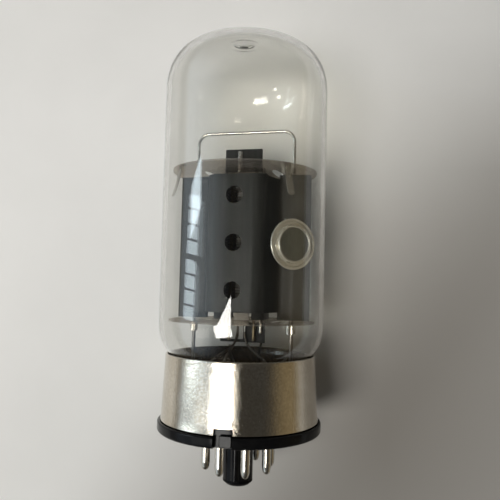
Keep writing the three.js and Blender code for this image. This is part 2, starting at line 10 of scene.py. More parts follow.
import logging
import math
from collections.abc import Callable, Sequence
from dataclasses import dataclass, field
from enum import Enum

import bmesh
import bpy
import numpy as np
from mathutils import Matrix, Vector
from mathutils.geometry import delaunay_2d_cdt

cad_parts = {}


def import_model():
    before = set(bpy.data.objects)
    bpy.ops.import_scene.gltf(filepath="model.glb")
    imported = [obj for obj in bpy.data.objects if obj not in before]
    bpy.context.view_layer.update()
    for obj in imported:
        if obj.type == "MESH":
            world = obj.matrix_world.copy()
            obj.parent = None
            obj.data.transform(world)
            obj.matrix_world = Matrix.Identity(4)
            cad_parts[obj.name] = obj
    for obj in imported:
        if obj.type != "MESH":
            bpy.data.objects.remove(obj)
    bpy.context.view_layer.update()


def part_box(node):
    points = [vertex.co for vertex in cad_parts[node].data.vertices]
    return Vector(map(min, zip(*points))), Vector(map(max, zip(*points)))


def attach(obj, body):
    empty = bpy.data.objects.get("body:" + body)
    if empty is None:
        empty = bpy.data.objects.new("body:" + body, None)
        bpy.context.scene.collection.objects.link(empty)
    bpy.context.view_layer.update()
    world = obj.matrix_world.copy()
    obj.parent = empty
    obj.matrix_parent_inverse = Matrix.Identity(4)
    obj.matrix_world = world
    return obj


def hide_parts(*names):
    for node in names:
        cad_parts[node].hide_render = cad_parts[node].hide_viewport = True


log = logging.getLogger("valve")

MM = 0.001
BODY = "root"
PLUG_LENGTH = 14.2 * MM
CAGE_TWIST = math.radians(-3.8)  # the cage sits a little turned on its stem
FACING_TURN = math.radians(10.8)  # the viewer stands this far round from the key
FRONT_ANGLE = np.pi / 2
ROD_X = 13.5
CONTROL_X = 3.4
SCREEN_X = 5.2
TINY = 1e-4  # radians between the two rows of a crisp upright edge
CAP_REACH = 0.35  # how far a wire's rounded end stands out, and how wide its face is, as shares of the radius
CAP_FACE = 0.72
Array = np.ndarray
Colour = tuple[float, float, float]
Pair = tuple[float, float]


class Side(Enum):
    """Left or right of the cage, as the sign of x."""

    LEFT = -1
    RIGHT = 1


class Face(Enum):
    """Front or back of the cage, as the turn about Z that puts a front piece there."""

    FRONT = 0.0
    BACK = math.pi


# ---------------------------------------------------------------------------------------------- mesh tools
def seat(height_mm: float) -> float:
    """Return the height in the part's frame of a height in millimetres above the wafer's underside."""
    return PLUG_LENGTH + height_mm * MM


def grid_faces(rows: int, columns: int, wrap_rows: bool = False, wrap_columns: bool = False) -> Array:
    """Join a grid of points into four-sided faces.

    Args:
        rows: number of rows of points.
        columns: number of points in a row.
        wrap_rows: join the last row to the first.
        wrap_columns: join the last column to the first.

    Returns:
        An array of four vertex numbers for each face.
    """
    i = np.arange(rows if wrap_rows else rows - 1)[:, None]
    j = np.arange(columns if wrap_columns else columns - 1)[None, :]
    after_i, after_j = (i + 1) % rows, (j + 1) % columns
    corners = [i * columns + j, i * columns + after_j, after_i * columns + after_j, after_i * columns + j]
    return np.stack([c.ravel() for c in np.broadcast_arrays(*corners)], axis=1)


@dataclass
class Shape:
    """Points and faces of one mesh, which other shapes can be added to."""

    points: Array
    faces: list[list[int]]

    def __add__(self, other: Shape) -> Shape:
        """Return both shapes as one, kept as separate shells."""
        moved = [[k + len(self.points) for k in f] for f in other.faces]
        return Shape(np.concatenate([self.points, other.points]), self.faces + moved)

    def turned(self, angle: float) -> Shape:
        """Return the shape turned about Z: x' = x cos a - y sin a, y' = x sin a + y cos a.

        Args:
            angle: the turn, in radians.

        Returns:
            The turned shape.
        """
        c, s = math.cos(angle), math.sin(angle)
        matrix = np.array([[c, s, 0.0], [-s, c, 0.0], [0.0, 0.0, 1.0]])
        return Shape(self.points @ matrix, self.faces)

    def shifted(self, x: float, y: float, z: float = 0.0) -> Shape:
        """Return the shape moved by x, y and z."""
        return Shape(self.points + np.array([x, y, z]), self.faces)


def grid_shape(points: Array, wrap_rows: bool = False, wrap_columns: bool = False) -> Shape:
    """Return a grid of points as a shape.

    Args:
        points: the points, as rows by columns by 3.
        wrap_rows: join the last row to the first.
        wrap_columns: join the last column to the first.

    Returns:
        The shape.
    """
    rows, columns = points.shape[:2]
    faces = grid_faces(rows, columns, wrap_rows, wrap_columns)
    return Shape(points.reshape(-1, 3), faces.tolist())


def turned_shape(profile: Sequence[Pair] | Array, around: int = 96, closed: bool = False) -> Shape:
    """Turn a profile about Z: the point (r, z) goes to (r cos t, r sin t, z) for t all the way round.

    Args:
        profile: radius and height of each profile point, in metres.
        around: number of steps round the axis.
        closed: the profile is a loop, not a line from axis to axis.

    Returns:
        The turned shape.
    """
    line = np.asarray(profile, float)
    t = np.linspace(0, 2 * np.pi, around, endpoint=False)[:, None]
    r, z = line[None, :, 0], line[None, :, 1]
    points = np.stack([r * np.cos(t), r * np.sin(t), z + 0 * t], axis=-1)
    return grid_shape(points, wrap_rows=True, wrap_columns=closed)


def rounded_profile(corners: Sequence[tuple[float, float, float]], steps: int = 5) -> Array:
    """Round the corners of a profile with quadratic curves.

    Each corner (r, z, size) is replaced by the curve (1-u)^2 a + 2u(1-u) p + u^2 b. It runs from a point a to
    a point b, which lie on its two edges, size away from the corner p.

    Args:
        corners: radius, height and rounding size of each corner, in metres.
        steps: points on each rounded corner.

    Returns:
        The profile's points as an array of radius and height.
    """
    data = np.asarray(corners, float)
    line, size = data[:, :2], data[:, 2]
    u = np.linspace(0, 1, steps)[:, None]
    made = [line[:1]]
    for k in range(1, len(line) - 1):
        before, point, after = line[k - 1], line[k], line[k + 1]
        if size[k] == 0:
            made.append(line[k : k + 1])
            continue
        a = point + (before - point) / max(np.linalg.norm(before - point), 1e-9) * size[k]
        b = point + (after - point) / max(np.linalg.norm(after - point), 1e-9) * size[k]
        made.append((1 - u) ** 2 * a + 2 * u * (1 - u) * point + u**2 * b)
    made.append(line[-1:])
    return np.concatenate(made)


def unit(vectors: Array) -> Array:
    """Return the vectors, along the last axis, scaled to length 1."""
    return vectors / np.maximum(np.linalg.norm(vectors, axis=-1, keepdims=True), 1e-12)


def smooth_path(points: Sequence[Sequence[float]], count: int) -> Array:
    """Return a smooth curve through given points, as a Catmull-Rom spline.

    Between points p1 and p2 with neighbours p0 and p3 the curve is
    (2 p1 + (p2-p0) u + (2p0-5p1+4p2-p3) u^2 + (3p1-p0-3p2+p3) u^3) / 2.

    Args:
        points: the points that it passes through.
        count: number of samples.

    Returns:
        The sampled points.
    """
    p = np.asarray(points, float)
    p = np.concatenate([[2 * p[0] - p[1]], p, [2 * p[-1] - p[-2]]])
    t = np.linspace(0, len(p) - 3 - 1e-9, count)
    k = t.astype(int)
    u = (t - k)[:, None]
    p0, p1, p2, p3 = p[k], p[k + 1], p[k + 2], p[k + 3]
    cubic = 3 * p1 - p0 - 3 * p2 + p3
    return 0.5 * (2 * p1 + (p2 - p0) * u + (2 * p0 - 5 * p1 + 4 * p2 - p3) * u**2 + cubic * u**3)


def wire_shape(path: Array, radius: float | Array, across: Sequence[float], sides: int = 12) -> Shape:
    """Carry a circle along a path: p(s) + r (cos a * side + sin a * up), with side = tangent x across.

    Args:
        path: the centre line's points.
        radius: the wire's radius, or one radius for each point.
        across: a direction that the path never runs along.
        sides: corners of the circle.

    Returns:
        The wire with closed, slightly rounded ends.
    """
    r = np.broadcast_to(np.asarray(radius, float), (len(path),)).copy()
    tangent = unit(np.gradient(path, axis=0))
    head, tail = path[0] - tangent[0] * r[0] * CAP_REACH, path[-1] + tangent[-1] * r[-1] * CAP_REACH
    path = np.concatenate([[head], [head], path, [tail], [tail]])
    tangent = np.concatenate([tangent[:1], tangent[:1], tangent, tangent[-1:], tangent[-1:]])
    r = np.concatenate([[0.0, r[0] * CAP_FACE], r, [r[-1] * CAP_FACE, 0.0]])
    side = unit(np.cross(tangent, np.asarray(across, float)))
    up = np.cross(side, tangent)
    a = np.linspace(0, 2 * np.pi, sides, endpoint=False)[None, :, None]
    ring = np.cos(a) * side[:, None] + np.sin(a) * up[:, None]
    return grid_shape(path[:, None] + r[:, None, None] * ring, wrap_columns=True)


def inside(points: Array, loop: Array) -> Array:
    """Return which points lie inside a loop, by counting the edges that a ray to +x crosses.

    Args:
        points: points in the plane.
        loop: the loop's corners in order.

    Returns:
        One truth value for each point.
    """
    a, b = loop, np.roll(loop, -1, axis=0)
    x, y = points[:, 0, None], points[:, 1, None]
    spans = (a[None, :, 1] > y) != (b[None, :, 1] > y)
    rise = np.where(b[:, 1] == a[:, 1], 1e-30, b[:, 1] - a[:, 1])
    cross_x = a[None, :, 0] + (y - a[None, :, 1]) * (b[:, 0] - a[:, 0])[None] / rise[None]
    return (np.sum(spans & (x < cross_x), axis=1) % 2).astype(bool)


def sheet_shape(
    outline: Array,
    holes: Sequence[Array],
    bend: Callable[[Array], tuple[Array, Array]],
    thickness: float,
    spacing: tuple[float, float],
) -> Shape:
    """Cut a flat pattern, then bend it into a sheet of even thickness.

    The pattern is triangulated between its outline, its holes and a grid of inner points. bend gives each
    pattern point its place and its normal, and the two faces lie half a thickness to either side.

    Args:
        outline: corners of the pattern's edge.
        holes: corners of each hole.
        bend: takes pattern points and returns places and normals.
        thickness: thickness of the sheet.
        spacing: grid steps of the inner points along both directions, or 0 for none.

    Returns:
        The bent sheet, closed along its edge and its holes.
    """
    loops = [outline, *holes]
    points = np.concatenate(loops)
    edges, start = [], 0
    for loop in loops:
        n = np.arange(len(loop))
        edges.append(np.stack([n, (n + 1) % len(loop)], axis=1) + start)
        start += len(loop)
    low, high = outline.min(0), outline.max(0)
    if spacing[0] > 0 and spacing[1] > 0:
        gx = np.arange(low[0] + spacing[0] * 0.5, high[0], spacing[0])
        gy = np.arange(low[1] + spacing[1] * 0.5, high[1], spacing[1])
        inner = np.stack(np.meshgrid(gx, gy), axis=-1).reshape(-1, 2)
        keep = inside(inner, outline)
        for loop in holes:
            keep &= ~inside(inner, loop)
        gap = np.linalg.norm(inner[:, None] - points[None], axis=-1).min(1)
        inner = inner[keep & (gap > 0.25 * min(spacing))]
        points = np.concatenate([points, inner])
    corners = [Vector(p) for p in points.tolist()]
    made = delaunay_2d_cdt(corners, np.concatenate(edges).tolist(), [], 0, 1e-9, False)
    flat = np.array([tuple(v) for v in made[0]])
    triangles = np.array([list(f) for f in made[2] if len(f) == 3])
    centres = flat[triangles].mean(1)
    wanted = inside(centres, outline)
    for loop in holes:
        wanted &= ~inside(centres, loop)
    triangles = triangles[wanted]
    place, normal = bend(flat)
    upper, lower = place + normal * thickness / 2, place - normal * thickness / 2
    sides = np.concatenate([triangles[:, [0, 1]], triangles[:, [1, 2]], triangles[:, [2, 0]]])
    names, counts = np.unique(np.sort(sides, axis=1), axis=0, return_counts=True)
    rim = {tuple(e) for e in names[counts == 1].tolist()}
    rim_sides = [e for e in sides.tolist() if tuple(sorted(e)) in rim]
    n = len(flat)
    under = (triangles[:, ::-1] + n).tolist()
    edge = [[b, a, a + n, b + n] for a, b in rim_sides]
    return Shape(np.concatenate([upper, lower]), triangles.tolist() + under + edge)


def ring_loop(x: float, y: float, rx: float, ry: float, count: int = 28) -> Array:
    """Return an oval loop: (x + rx cos t, y + ry sin t)."""
    t = np.linspace(0, 2 * np.pi, count, endpoint=False)
    return np.stack([x + rx * np.cos(t), y + ry * np.sin(t)], axis=1)


def box_loop(x0: float, x1: float, y0: float, y1: float, corner: float, steps: int = 4) -> Array:
    """Return a rectangle with quarter-circle corners as a loop.

    Args:
        x0: left edge.
        x1: right edge.
        y0: lower edge.
        y1: upper edge.
        corner: radius of the corners.
        steps: points on each corner.

    Returns:
        The loop's points, anticlockwise.
    """
    t = np.linspace(0, np.pi / 2, steps)
    arc = np.stack([np.cos(t), np.sin(t)], axis=1) * corner
    c, s = [x1 - corner, y1 - corner], np.array([[0, 1], [-1, 0]])
    centres = [c, [x0 + corner, y1 - corner], [x0 + corner, y0 + corner], [x1 - corner, y0 + corner]]
    turned = [arc, arc @ s, arc @ s @ s, arc @ s @ s @ s]
    return np.concatenate([np.asarray(m) + a for m, a in zip(centres, turned)])


def turned_rows(r: Array, z: Array, t: Array) -> Array:
    """Return points (r cos t, r sin t, z) for radii and heights that differ from row to row.

    Args:
        r: radius, as rows by columns.
        z: height, as rows by columns.
        t: one angle for each row, as a column, 0 at the front.

    Returns:
        The points, as rows by columns by 3.
    """
    angle = t - FRONT_ANGLE
    return np.stack([r * np.cos(angle), r * np.sin(angle), z], axis=-1)


def angles_with_gap(half: float, inner: int, outer: int, step: float) -> tuple[Array, Array]:
    """Return angles round the axis with a crisp edge on both sides of a gap at the front.

    Args:
        half: half the gap's angle.
        inner: number of angles inside the gap.
        outer: number of angles outside it.
        step: distance from the gap's edge to the first outer angle.

    Returns:
        The angles as a column, and which of them lie in the gap.
    """
    rest = np.linspace(half + step, 2 * np.pi - half - step, outer)
    t = np.concatenate([np.linspace(-half, half, inner), [half + TINY], rest, [2 * np.pi - half - TINY]])
    return t[:, None], (np.arange(len(t)) < inner)[:, None]


def finish_piece(
    name: str,
    shape: Shape,
    material: bpy.types.Material,
    node: str,
    sharp: float = 32.0,
) -> bpy.types.Object:
    """Turn a shape into a finished piece that rides on the frame.

    Args:
        name: the piece's name.
        shape: its points and faces, in place.
        material: its material.
        node: the frame's node that it stands for.
        sharp: the angle in degrees past which an edge stays crisp.

    Returns:
        The finished object.
    """
    mesh = bpy.data.meshes.new(name)
    mesh.from_pydata(shape.points.tolist(), [], shape.faces)
    bm = bmesh.new()
    bm.from_mesh(mesh)
    bmesh.ops.remove_doubles(bm, verts=bm.verts, dist=1e-7)
    bmesh.ops.recalc_face_normals(bm, faces=bm.faces)
    bm.to_mesh(mesh)
    bm.free()
    mesh.shade_smooth()
    mesh.set_sharp_from_angle(angle=math.radians(sharp))
    mesh.materials.append(material)
    piece = bpy.data.objects.new(name, mesh)
    bpy.context.scene.collection.objects.link(piece)
    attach(piece, BODY)
    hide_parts(node)
    log.info("%s: %d faces", name, len(mesh.polygons))
    return piece


# ---------------------------------------------------------------------------------------------- finishes
class NodeWriter:
    """Writes the shader nodes of one material."""

    def __init__(self, name: str) -> None:
        """Start a material with one Principled shader.

        Args:
            name: the material's name.
        """
        self.material = bpy.data.materials.new(name)
        self.material.use_nodes = True
        self.tree = self.material.node_tree
        self.shader = self.tree.nodes["Principled BSDF"]
        self.output = self.tree.nodes["Material Output"]
        self.place = self.tree.nodes.new("ShaderNodeTexCoord").outputs["Object"]

    def link(self, start: bpy.types.NodeSocket, end: bpy.types.NodeSocket) -> None:
        """Join two sockets."""
        self.tree.links.new(start, end)

    def set(self, **values: float | Sequence[float]) -> None:
        """Set the shader's own sockets, with underscores for the spaces in their names."""
        for key, value in values.items():
            self.shader.inputs[key.replace("_", " ")].default_value = value

    def paint(self, colour: bpy.types.NodeSocket) -> None:
        """Give the shader its colour."""
        self.link(colour, self.shader.inputs["Base Color"])

    def gloss(self, roughness: bpy.types.NodeSocket) -> None:
        """Give the shader its roughness."""
        self.link(roughness, self.shader.inputs["Roughness"])

    def noise(self, per_mm: float, detail: float = 4.0, stretch: Sequence[float] = (1, 1, 1),
              rough: float = 0.55, twist: float = 0.0) -> bpy.types.NodeSocket:
        """Return noise on Object coordinates.

        Args:
            per_mm: cells in a millimetre.
            detail: layers of finer noise.
            stretch: factors on the coordinates, so that a small one draws the noise out along its axis.
            rough: share of the finer layers.
            twist: how far the noise is twisted by itself.

        Returns:
            The noise, from 0 to 1.
        """
        mapping = self.tree.nodes.new("ShaderNodeMapping")
        mapping.inputs["Scale"].default_value = stretch
        self.link(self.place, mapping.inputs["Vector"])
        node = self.tree.nodes.new("ShaderNodeTexNoise")
        node.inputs["Scale"].default_value = per_mm / MM
        node.inputs["Detail"].default_value = detail
        node.inputs["Roughness"].default_value = rough
        node.inputs["Distortion"].default_value = twist
        self.link(mapping.outputs["Vector"], node.inputs["Vector"])
        return node.outputs["Fac"]

    def height(self) -> bpy.types.NodeSocket:
        """Return the height of the shaded point.

        Returns:
            The height in metres.
        """
        node = self.tree.nodes.new("ShaderNodeSeparateXYZ")
        self.link(self.place, node.inputs[0])
        return node.outputs["Z"]

    def along(self, direction: Sequence[float]) -> bpy.types.NodeSocket:
        """Return how far the shaded point lies along a direction: the dot product of the two.

        Args:
            direction: the direction; its length scales the result.

        Returns:
            The distance in metres.
        """
        node = self.tree.nodes.new("ShaderNodeVectorMath")
        node.operation = "DOT_PRODUCT"
        node.inputs[1].default_value = direction
        self.link(self.place, node.inputs[0])
        return node.outputs["Value"]

    def spread(self, value: bpy.types.NodeSocket, low: float, high: float, to_low: float = 0.0,
               to_high: float = 1.0, soft: bool = False) -> bpy.types.NodeSocket:
        """Carry a value from one range to another, clamped.

        Args:
            value: the value.
            low: start of its range.
            high: end of its range.
            to_low: what the start becomes.
            to_high: what the end becomes.
            soft: along a soft S-curve, not along a line.

        Returns:
            The value in its new range.
        """
        node = self.tree.nodes.new("ShaderNodeMapRange")
        node.interpolation_type = "SMOOTHSTEP" if soft else "LINEAR"
        for key, number in zip(("From Min", "From Max", "To Min", "To Max"), (low, high, to_low, to_high)):
            node.inputs[key].default_value = number
        self.link(value, node.inputs["Value"])
        return node.outputs["Result"]

    def blend(self, factor: bpy.types.NodeSocket, first: bpy.types.NodeSocket | Colour,
              second: bpy.types.NodeSocket | Colour) -> bpy.types.NodeSocket:
        """Mix two colours.

        Args:
            factor: share of the second colour.
            first: the first colour.
            second: the second colour.

        Returns:
            The mixed colour.
        """
        node = self.tree.nodes.new("ShaderNodeMix")
        node.data_type = "RGBA"
        self.link(factor, node.inputs["Factor"])
        for socket, value in ((node.inputs[6], first), (node.inputs[7], second)):
            if isinstance(value, bpy.types.NodeSocket):
                self.link(value, socket)
            else:
                socket.default_value = (*value, 1.0)
        return node.outputs[2]

    def bump(self, value: bpy.types.NodeSocket, depth_mm: float, strength: float = 1.0) -> None:
        """Raise the surface by a value times a depth, on top of any bump already there.

        Args:
            value: the value, from 0 to 1.
            depth_mm: the depth in millimetres.
            strength: share of the bump.
        """
        node = self.tree.nodes.new("ShaderNodeBump")
        node.inputs["Distance"].default_value = depth_mm * MM
        node.inputs["Strength"].default_value = strength
        self.link(value, node.inputs["Height"])
        before = self.shader.inputs["Normal"].links
        if before:
            self.link(before[0].from_socket, node.inputs["Normal"])
        self.link(node.outputs["Normal"], self.shader.inputs["Normal"])

    def see_through(self, share: float, tint: Sequence[float], lamps_only: bool = False) -> None:
        """Mix the shader with a Transparent one.

        Args:
            share: share of the Transparent one.
            tint: its colour.
            lamps_only: mix it in only for the rays that carry lamp light, and then in full.
        """
        clear = self.tree.nodes.new("ShaderNodeBsdfTransparent")
        clear.inputs["Color"].default_value = (*tint, 1.0)
        mix = self.tree.nodes.new("ShaderNodeMixShader")
        mix.inputs["Fac"].default_value = share
        if lamps_only:
            path = self.tree.nodes.new("ShaderNodeLightPath")
            self.link(path.outputs["Is Shadow Ray"], mix.inputs["Fac"])
        self.link(self.shader.outputs["BSDF"], mix.inputs[1])
        self.link(clear.outputs["BSDF"], mix.inputs[2])
        self.link(mix.outputs["Shader"], self.output.inputs["Surface"])


@dataclass(frozen=True)
class ClearGlass:
    """Clear soda-lime bulb glass with a trace of grey, which lets lamp light through to the cage."""

    name: str = "clear_bulb_glass"
    tint: Colour = (0.85, 0.85, 0.835)
    shine: float = 0.01
    index: float = 1.5
    lamp_tint: Colour = (0.84, 0.84, 0.825)
    draw_lines: Colour = (1.0, 1.0, 0.3)

    def build(self) -> bpy.types.Material:
        """Write the finish.

        Returns:
            The material.
        """
        w = NodeWriter(self.name)
        w.set(Base_Color=(*self.tint, 1.0), Roughness=self.shine, IOR=self.index, Transmission_Weight=1.0)
        w.bump(w.noise(0.05, detail=1.0, stretch=self.draw_lines), depth_mm=0.02, strength=0.35)
        w.see_through(1.0, self.lamp_tint, lamps_only=True)
        return w.material


@dataclass(frozen=True)
class SatinNickel:
    """Nickel plate: satin, finely mottled, with faint brown haze and small stains."""

    name: str = "satin_nickel_plate"
    bright: Colour = (0.7, 0.655, 0.575)
    haze: Colour = (0.46, 0.4, 0.31)
    shine: Pair = (0.065, 0.11)
    grain_per_mm: float = 1.7
    cloud_per_mm: float = 0.14
    stain_per_mm: float = 0.22

    def build(self) -> bpy.types.Material:
        """Write the finish.

        Returns:
            The material.
        """
        w = NodeWriter(self.name)
        w.set(Metallic=1.0)
        grain = w.noise(self.grain_per_mm, rough=0.7)
        cloud = w.noise(self.cloud_per_mm, stretch=(1.0, 1.0, 0.7))
        stain = w.noise(self.stain_per_mm, detail=5.0)
        colour = w.blend(w.spread(cloud, 0.35, 0.7, to_high=0.55), self.bright, self.haze)
        colour = w.blend(w.spread(grain, 0.4, 0.62, to_high=0.55), colour, self.haze)
        w.paint(w.blend(w.spread(stain, 0.58, 0.72, to_high=0.45), colour, self.haze))
        w.gloss(w.spread(cloud, 0.3, 0.7, *self.shine))
        w.bump(grain, depth_mm=0.06, strength=0.8)
        return w.material


@dataclass(frozen=True)
class BlackPhenolic:
    """Black moulded phenolic: glossy, with fine moulding texture and a few dull rubs."""

    name: str = "black_phenolic"
    colour: Colour = (0.005, 0.005, 0.0055)
    rubbed: Colour = (0.012, 0.0115, 0.011)
    shine: Pair = (0.12, 0.22)
    specular: float = 0.1

    def build(self) -> bpy.types.Material:
        """Write the finish.

        Returns:
            The material.
        """
        w = NodeWriter(self.name)
        w.set(Specular_IOR_Level=self.specular)
        rub = w.noise(0.4)
        w.paint(w.blend(w.spread(rub, 0.5, 0.8, to_high=0.5), self.colour, self.rubbed))
        w.gloss(w.spread(rub, 0.35, 0.75, *self.shine))
        w.bump(w.noise(1.6, detail=3.0), depth_mm=0.03, strength=0.35)
        return w.material


@dataclass(frozen=True)
class BrownCement:
    """Baked brown basing cement: matte and crumbly; its own brown is darkened further as painted shade for
    the dim inside of the base.
    """

    name: str = "brown_basing_cement"
    dark: Colour = (0.03, 0.019, 0.01)
    light: Colour = (0.11, 0.07, 0.038)

    def build(self) -> bpy.types.Material:
        """Write the finish.

        Returns:
            The material.
        """
        w = NodeWriter(self.name)
        grit = w.noise(1.1, detail=6.0)
        w.paint(w.blend(w.spread(grit, 0.35, 0.7), self.dark, self.light))
        w.set(Roughness=0.9)
        w.bump(grit, depth_mm=0.25, strength=0.8)
        return w.material


@dataclass(frozen=True)
class CarbonisedSheet:
    """Carbonised anode sheet: dark charcoal with a semi-gloss skin, rolling streaks and faint scuffs."""

    name: str = "carbonised_sheet"
    dark: Colour = (0.02, 0.0207, 0.0193)
    light: Colour = (0.031, 0.0318, 0.0293)
    shine: Pair = (0.34, 0.44)
    scuffed: Colour = (0.06, 0.06, 0.056)
    specular: float = 0.14

    def build(self) -> bpy.types.Material:
        """Write the finish.

        Returns:
            The material.
        """
        w = NodeWriter(self.name)
        streak = w.noise(0.9, stretch=(1.0, 1.0, 0.06))
        speck = w.noise(3.0, detail=3.0)
        colour = w.blend(w.spread(streak, 0.35, 0.7), self.dark, self.light)
        w.paint(w.blend(w.spread(speck, 0.62, 0.8, to_high=0.3), colour, self.scuffed))
        w.set(Specular_IOR_Level=self.specular)
        w.gloss(w.spread(streak, 0.3, 0.75, *self.shine))
        w.bump(speck, depth_mm=0.012, strength=0.5)
        w.bump(w.noise(0.12, detail=2.0, stretch=(1.0, 1.0, 0.4)), depth_mm=0.1, strength=0.35)
        return w.material


@dataclass(frozen=True)
class MicaSheet:
    """Sprayed mica: brownish, cloudy, letting some light through."""

    name: str = "sprayed_mica"
    pale: Colour = (0.29, 0.27, 0.25)
    brown: Colour = (0.13, 0.112, 0.102)
    clear_share: float = 0.66
    clear_tint: Colour = (0.86, 0.81, 0.75)
    shine: Pair = (0.22, 0.45)

    def build(self) -> bpy.types.Material:
        """Write the finish.

        Returns:
            The material.
        """
        w = NodeWriter(self.name)
        cloud = w.noise(0.16, detail=5.0, twist=0.6)
        speck = w.noise(1.8, detail=3.0)
        colour = w.blend(w.spread(cloud, 0.35, 0.68), self.pale, self.brown)
        w.paint(w.blend(w.spread(speck, 0.55, 0.75, to_high=0.4), colour, self.pale))
        w.gloss(w.spread(speck, 0.3, 0.7, *self.shine))
        w.bump(cloud, depth_mm=0.05, strength=0.4)
        w.see_through(self.clear_share, self.clear_tint)
        return w.material


@dataclass(frozen=True)
class DrawnWire:
    """Drawn wire or strip: bright or oxidised metal with fine lengthwise marks."""

    name: str = "bright_nickel_wire"
    colour: Colour = (0.64, 0.615, 0.56)
    dull: Colour = (0.42, 0.39, 0.34)
    shine: Pair = (0.18, 0.3)
    metal: float = 1.0

    def build(self) -> bpy.types.Material:
        """Write the finish.

        Returns:
            The material.
        """
        w = NodeWriter(self.name)
        marks = w.noise(2.2, stretch=(1.0, 1.0, 0.25))
        w.set(Metallic=self.metal)
        w.paint(w.blend(w.spread(marks, 0.35, 0.7, to_high=0.8), self.colour, self.dull))
        w.gloss(w.spread(marks, 0.3, 0.7, *self.shine))
        w.bump(marks, depth_mm=0.005, strength=0.4)
        return w.material


@dataclass(frozen=True)
class OxideCoating:
    """Sprayed white oxide on the cathode and the heater, dimmed to mid grey as painted shade for the inside
    of the anode.
    """

    name: str = "shade_dimmed_oxide_coating"
    colour: Colour = (0.52, 0.51, 0.48)
    shaded: Colour = (0.4, 0.385, 0.355)

    def build(self) -> bpy.types.Material:
        """Write the finish.

        Returns:
            The material.
        """
        w = NodeWriter(self.name)
        grain = w.noise(4.0)
        w.paint(w.blend(w.spread(grain, 0.3, 0.7), self.colour, self.shaded))
        w.set(Roughness=0.85)
        w.bump(grain, depth_mm=0.05, strength=0.6)
        return w.material


@dataclass(frozen=True)
class PaleFloor:
    """The pale floor: matte paper white, drawn on its front side only, with painted light and shade on it.

    A painted shadow falls towards the lower right corner and painted light lies towards the upper left; there
    are painted glows to the right and at the top, a painted bright patch far to the right and painted shade
    far to the left. Each zone is where a softening starts and ends, in metres. The painted shadow runs along
    a slope to the right and down, measured from a point beside the valve; the side zones run to the right,
    and the top zone runs up.
    """

    name: str = "pale_floor"
    brightest: Colour = (0.97, 0.94, 0.905)
    lit: Colour = (0.85, 0.83, 0.8)
    shaded: Colour = (0.275, 0.255, 0.23)
    slope_right: float = 0.8
    slope_down: float = 0.6
    slope_start: Pair = (2.3 * MM, 63.2 * MM)
    fall: Pair = (-0.006, 0.07)
    near: Pair = (-0.075, 0.0)
    right_glow: Pair = (0.045, 0.085)
    top_glow: Pair = (0.09, 0.135)
    painted_light_far_right: Pair = (0.12, 0.2)
    painted_shade_far_left: Pair = (-0.1, -0.16)

    def build(self) -> bpy.types.Material:
        """Write the finish.

        Returns:
            The material.
        """
        w = NodeWriter(self.name)
        c, s = math.cos(FACING_TURN), math.sin(FACING_TURN)
        slope = w.along((self.slope_right * c, self.slope_right * s, -self.slope_down))
        start = self.slope_right * self.slope_start[0] - self.slope_down * self.slope_start[1]
        # Painted shadow: the colour falls from lit to shaded along the slope towards the lower right.
        fall = w.spread(slope, self.fall[0] + start, self.fall[1] + start, soft=True)
        # Painted light: brightest up and to the left of the valve, fading out across the near zone.
        near = w.spread(slope, self.near[0] + start, self.near[1] + start, 1.0, 0.0, soft=True)
        side = w.along((c, s, 0.0))
        colour = w.blend(fall, self.lit, self.shaded)
        colour = w.blend(near, colour, self.brightest)
        # Painted glows to the right and at the top, a painted bright patch far right and painted shade far
        # left.
        colour = w.blend(w.spread(side, *self.right_glow, to_high=0.13), colour, self.brightest)
        colour = w.blend(w.spread(w.height(), *self.top_glow, to_high=0.5), colour, self.brightest)
        colour = w.blend(w.spread(side, *self.painted_light_far_right, soft=True), colour, self.brightest)
        colour = w.blend(w.spread(side, *self.painted_shade_far_left, soft=True), colour, self.shaded)
        w.paint(w.blend(w.spread(w.noise(0.03), 0.3, 0.7, to_high=0.06), colour, self.shaded))
        w.set(Roughness=0.9)
        w.see_through(0.0, (1.0, 1.0, 1.0))
        mix = w.output.inputs["Surface"].links[0].from_node
        facing = w.tree.nodes.new("ShaderNodeNewGeometry")
        w.link(facing.outputs["Backfacing"], mix.inputs["Fac"])
        return w.material


